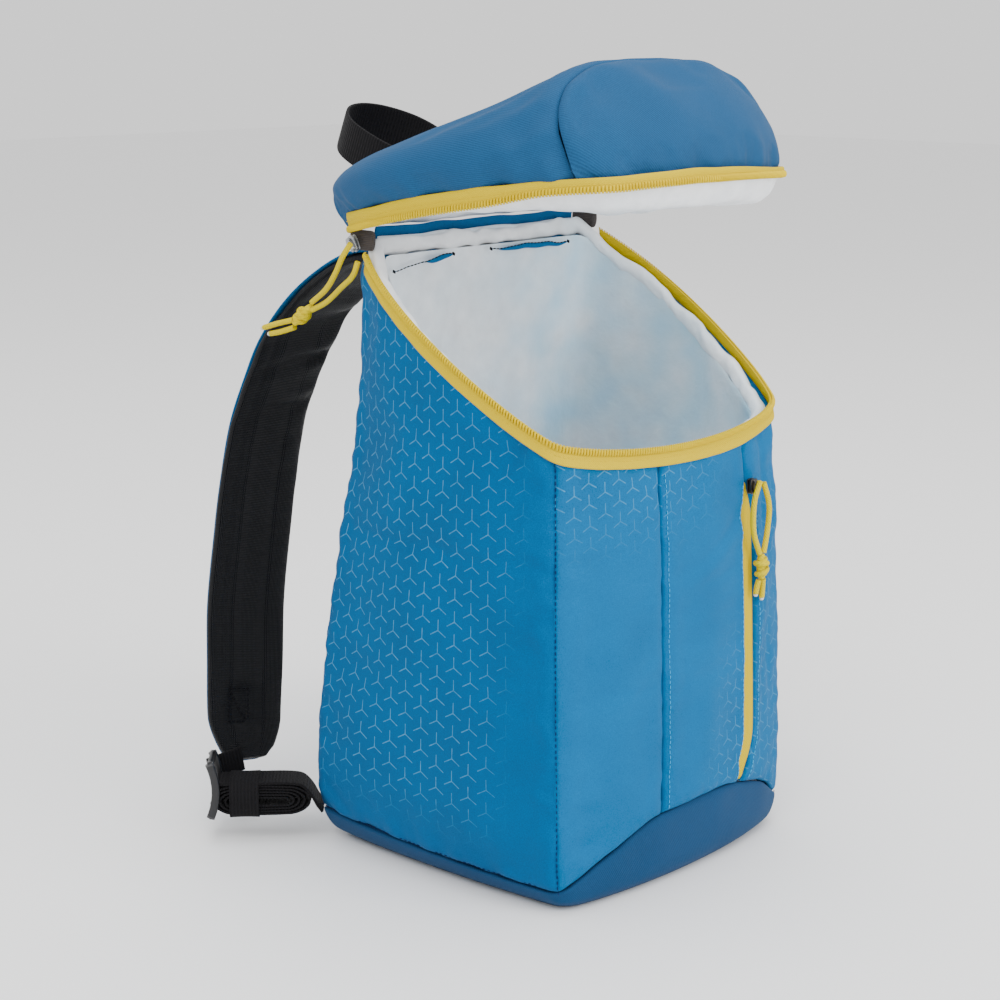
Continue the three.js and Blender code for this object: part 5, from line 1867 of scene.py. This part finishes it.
@dataclass
class ShoulderStrap:
    """Padded strap: black mesh towards the body, blue cloth outside, and its stitched end."""

    side: int
    pad: float = 6.0
    width: float = 54.0
    steps: int = 120

    def frames(self) -> tuple[np.ndarray, np.ndarray, np.ndarray, np.ndarray]:
        """Middle line, section directions and widths of the left strap."""
        rows = STRAP_LINE.columns
        points = np.stack([
            -rows["out"] * HALF_WIDTH, rows["away"] * DEPTH, rows["height"] * HINGE_HEIGHT], axis=1)
        start = plan(Panel.BACK, np.array([0.5]), points[:1, 2])[1][0]
        points[0, 1] = start + GAP
        at = np.linspace(0, 1, self.steps)
        path = spline(points, at)
        widths = spline(np.stack([rows["width"]] * 3, axis=1), at)[:, 0] * self.width
        along = tangents(path)
        across = unit(np.array([1.0, 0, 0]) - along * along[:, :1])
        return path, across, unit(np.cross(across, along)), widths

    @property
    def sewn(self) -> np.ndarray:
        """Steps of the path that the sewn square takes."""
        return np.arange(int(self.steps * 0.785), int(self.steps * 0.842))

    def stitching(self, path: np.ndarray, across: np.ndarray, out: np.ndarray) -> Patch:
        """Thread of the sewn square with one diagonal near the strap's lower end."""
        thread = Patch()
        rows = self.sewn
        span = np.linspace(0, 1, len(rows))
        left, right = -12.0, 0.8
        lines = [(left, left), (right, right), (left, right)]
        for first, last in lines:
            line = path[rows] + across[rows] * mix(first, last, span)[:, None] + out[rows] * 1.7
            stitches(thread, line, -out[rows], 2.4, 0.6, 0.9)
        for row in (rows[0], rows[-1]):
            line = path[row] + np.outer(np.linspace(left, right, 6), across[row]) + out[row] * 1.7
            stitches(thread, line, np.tile(-out[row], (6, 1)), 2.4, 0.6, 0.9)
        return thread

    def build(self) -> None:
        """Makes the pad and the cover."""
        path, across, out, widths = self.frames()
        length = run_length(path)
        angle = circle(44)
        x = rounded(np.cos(angle), 0.42) / 2
        y = rounded(np.sin(angle), 0.55) / 2
        s = length[:, None] + 0 * x
        offset = x[None, :] * widths[:, None]
        bend = bell(s - 95, 62)
        crease = noise(s + offset * 0.34, offset * 0.05, 6.8, 111) * (0.55 + 0.45 * ease(-20, 24, offset))
        fold = bell(crease, 0.22) * (0.3 + 0.7 * ease(-20, 24, offset))
        relief = (3.2 * crease + 2.4 * fold) * bend + 0.9 * noise(s, offset, 24, 112)
        # The binding's seam along the outer edge, and the sewn square pulled into the padding
        relief = relief - 0.9 * bell(offset + widths[:, None] / 2 - 9, 1.3)
        first, last = length[self.sewn[0]], length[self.sewn[-1]]
        square = ease(-16, -11, offset) * (1 - ease(0, 5, offset))
        square = square * ease(first - 4, first, s) * (1 - ease(last, last + 4, s))
        relief = relief - 2.2 * square
        lift = self.pad * (y[None, :] + 0.5) + np.where(y < 0, -1.0, 0.0) * relief * (1 - np.abs(2 * x) ** 6)
        rings = path[:, None] + across[:, None] * offset[..., None] + out[:, None] * lift[..., None]
        edge = 1.8 * noise(s, 0 * s, 12, 113) * bend * np.abs(2 * x) ** 3
        rings = rings + across[:, None] * (edge * np.sign(x))[..., None]
        patch, cover = Patch(), Patch()
        patch.sweep(rings, paired(offset, s))
        widths = widths - mix(0.5, 3.8, ease(80, 140, length))
        sections = strip_rings(path + out * (self.pad + 0.9), across, out, widths, 1.9, 16, 0.3)
        cover.sweep(sections, paired(np.linspace(-27, 27, 16)[None, :], length[:, None]))
        name = "left" if self.side < 0 else "right"
        if self.side > 0:
            patch, cover = patch.mirrored(), cover.mirrored()
        seams = self.stitching(path, across, out)
        seams = seams if self.side < 0 else seams.mirrored()
        make(f"pad_threads_{name}", seams, "thread_black", "black_mesh", angle=70)
        piece = make(f"mesh_pad_{name}", patch, "mesh", "black_mesh", f"strap_pad_{name}", levels=1, angle=70)
        node = f"strap_cover_{name}"
        make(f"strap_skin_{name}", cover, "side_cloth_shaded_copy", "blue_cloth", node, levels=1, angle=70)


@dataclass
class Buckle:
    """Ladder lock, lower webbing, its spare length rolled in a keeper, and the strap's loop."""

    side: int

    def build(self) -> None:
        """Makes the five pieces at one strap's lower end."""
        name = "left" if self.side < 0 else "right"
        up = UP
        lock = np.array([-1.505 * HALF_WIDTH, 0.492 * DEPTH, 0.090 * HINGE_HEIGHT])
        x, y = plan(Panel.LEFT, np.array([0.0]), lock[2:])
        corner = np.array([x[0], y[0], lock[2]])
        way = unit(lock - corner)
        beside = np.cross(up, way)
        roll_height = lock[2] - 6.5
        web_height = roll_height + (17 + 1.6) / 2 + GAP
        pieces: dict[str, tuple[Patch, str, str, str]] = {}

        # Ladder lock: a bowed frame with two bars across it
        lock_patch = Patch()
        z = np.linspace(-0.5, 0.5, 24)
        for at in (-1, 1):
            path = lock + np.outer(z * LOCK_LENGTH, up) + beside * at * 10.2
            path = path + np.outer(3.2 * (4 * z**2) - 2.4, way)
            a, o = ring_frames(path, beside)
            lock_patch.sweep(strip_rings(path, a, o, 3.4, 4.6, 12, 0.6))
        for z, thick in ((-0.46, 4.6), (0.0, 3.6), (0.46, 4.6)):
            steps = np.linspace(-10, 10, 12)
            path = lock + up * z * LOCK_LENGTH + np.outer(steps, beside) + way * (3.2 * 4 * z**2 - 2.4)
            a, o = ring_frames(path, up)
            lock_patch.sweep(strip_rings(path, a, o, thick, 3.4, 12, 0.6))
        pieces["lock_frame"] = (lock_patch, "plastic", "black_plastic", "ladder_lock")

        # Lower webbing: rises from the back seam over the roll to the lock
        drops = ((-0.07, 0.96), (-0.01, 0.74), (0.07, 0.36), (0.17, 0.08), (0.28, 0.0))
        points = [corner + way * at * 44 + up * (web_height - drop * 17 - corner[2]) for at, drop in drops]
        points.append(lock - way * 3.0 + up * (web_height - lock[2]))
        path = spline(np.array(points), np.linspace(0, 1, 50))
        a, o = ring_frames(path, beside)
        web = ribbon(path, a, o, 20, 1.6, 16, 0.2)
        pieces["lower_strap"] = (web, "webbing", "black_webbing", "lower_webbing")

        # Roll: webbing wound round its own eye in flat turns
        centre = lock - way * (4 + 2 * GAP + 22) + up * (roll_height - lock[2])
        turns = np.linspace(0, 2 * np.pi * 4.4, 260)
        grow = 1.5 + turns / (2 * np.pi) * 1.62
        straight = 13.2
        cx = np.sign(np.cos(turns)) * np.minimum(np.abs(np.cos(turns)) * 3, 1) * straight * 0.5
        body_x = cx + grow * np.cos(turns)
        stretch = 1 + (22.0 - 8.4 - straight * 0.5) / 8.4
        path = centre + np.outer(-(body_x * stretch), way) + np.outer(grow * np.sin(turns), up)
        across = np.tile(beside, (len(path), 1))
        roll = ribbon(path, across, unit(np.cross(tangents(path), across)), 20, 1.35, 8, 0.3)
        pieces["spare_roll"] = (roll, "webbing", "black_webbing", "webbing_roll")

        # Keeper: an elastic ring round the roll and the webbing above it
        keeper_centre = centre + way * 9 + up * 1.0
        angle = circle(48)
        cy, cz = rounded(np.cos(angle), 0.45), rounded(np.sin(angle), 0.45)
        ring_out, ring_in = [], []
        for at in np.linspace(-8, 8, 12):
            sag = 0.5 * math.cos(at / 8 * math.pi / 2)
            for target, grow_by in ((ring_out, 1.3), (ring_in, 0.15)):
                half_y = 20.6 / 2 + grow_by - sag * 0.4
                half_z = 19.8 / 2 + grow_by - sag * 0.4
                ring = np.outer(cy * half_y, beside) + np.outer(cz * half_z, up)
                target.append(keeper_centre + way * at + ring)
        keeper = Patch()
        flat = paired(12 * angle[None, :], np.linspace(-8, 8, 12)[:, None])
        keeper.sheet(np.stack(ring_out), np.stack(ring_in), loop=True, flat=flat)
        pieces["elastic_keeper"] = (keeper, "webbing", "black_webbing", "web_keeper")

        # Loop from the strap's end to the lock
        low, high = box_corners("strap_loop_left")
        middle = (low + high) / 2
        start = np.array([high[0] + 5, low[1] + 1.0, middle[2] + 6.5])
        end = np.array([low[0] - 4.5, high[1] - 1.5, middle[2] + 3.0])
        path = spline(np.array([start, mix(start, end, 0.5), end]), np.linspace(0, 1, 16))
        a, o = ring_frames(path, up)
        loop = ribbon(path, a, o, 14, 1.8, 16, 0.25, turns=angle[:16])
        pieces["loop_strap"] = (loop, "webbing", "black_webbing", "strap_loop")

        for key, (patch, finish, slot, node) in pieces.items():
            patch = patch if self.side < 0 else patch.mirrored()
            make(f"{key}_{name}", patch, finish, slot, f"{node}_{name}", angle=55)


MAIN_CORD = {
    "upper": (
        (-98.2, -4.5, 327), (-98, 1.4, 320.4), (-97.5, 7.6, 311.3), (-96, 16.5, 302.2), (-93.9, 30.2, 293.8),
    ),
    "lower": (
        (-96, -7.5, 318), (-96.5, -4.5, 311), (-95.5, 5.4, 304), (-94, 18.8, 295), (-93.2, 30.9, 289.7),
    ),
    "upper_tail": ((-90.5, 48.5, 282.5), (-89.5, 63, 279), (-88.5, 76, 275.4)),
    "lower_tail": ((-91, 47.4, 278.7), (-90, 60, 275), (-89, 70, 272.8)),
    "knot": ((-93.5, 31.5, 291.5), (-90.8, 47.5, 280.8)),
}
POCKET_CORD = {
    "left": ((51, -155.6, 202.5), (46, -156, 192.7), (46.6, -155.5, 176), (51.6, -156, 163.2)),
    "right": ((54.6, -155.3, 201), (59.5, -155.6, 188), (58.5, -155.5, 174), (55.1, -156, 163.2)),
    "left_tail": ((51.9, -155.8, 148.9), (51.4, -155, 145), (51.2, -154.5, 141)),
    "right_tail": ((55.6, -155.8, 148.9), (56.4, -155, 144), (56.6, -154.5, 138)),
    "knot": ((53.3, -156, 162.9), (53.8, -156, 149.3)),
}
CORD = 3.0


@dataclass
class PullCord:
    """Braided pull of one zip: two strands, a knot and two tails with melted tips."""

    name: str
    routes: dict[str, tuple]

    def strand(self, key: str) -> list[bpy.types.Object]:
        """Makes one strand or tail along its route.

        Args:
            key: Its key in the routes.

        Returns:
            The new pieces.
        """
        route = np.array(self.routes[key], float)
        path = spline(route, np.linspace(0, 1, 30))
        tail = key.endswith("tail")
        radius = np.full(len(path), CORD / 2)
        if tail:
            radius[-2:] = [CORD * 0.46, CORD * 0.3]
        patch = braid(path, radius, 12)
        piece = make(f"{self.name}_{key}_cord", patch, "braid", "yellow_cord", f"{self.name}_{key}", angle=70)
        if tail:
            tip = Patch()
            way = unit(path[-1] - path[-2])
            end = path[-1] + np.outer([-0.6, 0.2, 0.9, 1.3], way)
            tip.sweep(tube_rings(end, np.array([1.2, 1.25, 1.1, 0.5]), 12))
            return [piece, make(f"{self.name}_{key}_tip", tip, "tip", "yellow_cord", angle=70)]
        return [piece]

    def tie(self) -> bpy.types.Object:
        """Makes the knot: a cord wound twice round the strands."""
        start, end = (np.array(point, float) for point in self.routes["knot"])
        axis = unit(end - start)
        middle = (start + end) / 2
        side = unit(np.cross(axis, [0.2, 0.3, 1.0]))
        other = np.cross(axis, side)
        turn = np.linspace(0, 2 * np.pi * 3.2, 120)
        share = turn / turn[-1]
        radius = 1.55 + 1.35 * np.sin(np.pi * np.clip(share * 1.1, 0, 1)) ** 0.6
        along = (share - 0.5) * 9.0 + 1.6 * np.sin(turn * 0.5)
        wound = np.outer(radius * np.cos(turn), side) + np.outer(radius * np.sin(turn), other)
        patch = braid(middle + np.outer(along, axis) + wound, CORD / 2, 10)
        core = middle + np.outer(np.linspace(-0.5, 0.5, 14), axis) * np.linalg.norm(end - start)
        patch.sweep(tube_rings(core, 2.6 * np.sin(np.pi * np.linspace(0.12, 0.88, 14)) ** 0.5, 12))
        return make(f"{self.name}_tie", patch, "braid", "yellow_cord", f"{self.name}_knot", angle=70)

    def build(self) -> None:
        """Makes the whole pull."""
        pieces = [self.tie()]
        for key in (key for key in self.routes if key.endswith("tail")):
            pieces += self.strand(key)
        first, second = (key for key in self.routes if key != "knot" and not key.endswith("tail"))
        self.strand(first)
        self.strand(second)


@dataclass
class Slider:
    """Zip slider: two plates joined by a neck, with a bridge for the cord."""

    name: str
    node: str
    finish: str
    way: tuple[float, float, float]
    out: tuple[float, float, float]

    def build(self) -> None:
        """Makes the slider in its CAD node's box."""
        middle = sum(box_corners(self.node)) / 2
        way, out = unit(np.array(self.way)), unit(np.array(self.out))
        side = np.cross(way, out)
        patch = Patch()
        angle = circle(14)
        for level in (-1.5, 0.7):
            rings = []
            for at, wide in ((-4.0, 3.6), (-3.6, 4.4), (-1.0, 5.4), (2.4, 6.2), (3.7, 5.4), (4.0, 4.4)):
                x = rounded(np.cos(angle), 0.4) * wide / 2
                y = rounded(np.sin(angle), 0.4) / 2
                rings.append(middle + way * at + np.outer(x, side) + np.outer(y + level, out))
            patch.sweep(np.stack(rings))
        neck = middle + way * 2.4 + np.outer([-1.4, 0.9], out)
        patch.sweep(tube_rings(neck, 1.3, 10))
        arch = np.linspace(0, np.pi, 16)
        path = middle + np.outer(3.2 * np.cos(arch), way) + np.outer(0.9 + 2.1 * np.sin(arch), out)
        a, o = ring_frames(path, side)
        patch.sweep(strip_rings(path, a, o, 2.4, 0.9, 10, 0.5))
        make(self.name, patch, self.finish, "slider_metal", self.node, angle=40)


@dataclass
class Seams:
    """Thread lines where panels meet: dark in the side seams and along the base."""

    def build(self) -> None:
        """Makes the stitches of the corner seams and the base seam."""
        thread = Patch()
        for share in (0.0, 1.0):
            start = float(base_seam_at(Panel.FRONT, np.array([share]))[0])
            stop = float(rim_at(Panel.FRONT, np.array([share]))[0]) - WALL_TOP - 4
            line = wall_point(Panel.FRONT, np.full(90, share), np.linspace(start, stop, 90), 0.75)
            stitches(thread, line, outward(line), 2.0, 1.1, 0.5)
        for panel in (Panel.LEFT, Panel.RIGHT, Panel.BACK):
            share = np.linspace(0.02, 0.98, 60)
            line = wall_point(panel, share, base_seam_at(panel, share) + 2.2, -0.25)
            stitches(thread, line, outward(line), 2.2, 1.0, 0.5)
        make("seam_threads", thread, "thread_navy", "navy_cloth", angle=80)


def main() -> None:
    """Builds the studio and every piece of the bag."""
    logging.basicConfig(level=logging.INFO, format="%(message)s")
    Studio().build()
    PullCord("main_pull", MAIN_CORD).build()
    PullCord("pocket_pull", POCKET_CORD).build()
    for wall in WALLS:
        wall.build()
    Base().build()
    Lining().build()
    MouthZip().build()
    PocketZip().build()
    Lid().build()
    Hinge().build()
    Handle().build()
    for side in (-1, 1):
        ShoulderStrap(side).build()
        Buckle(side).build()
    Slider("mouth_slider", "main_zip_slider", "steel", (0, 0.6, 0.8), (-1, 0, 0)).build()
    Slider("pouch_slider", "pocket_zip_slider", "gunmetal", (0, 0, 1), (0, -1, 0)).build()
    Seams().build()


if __name__ == "__main__":
    main()
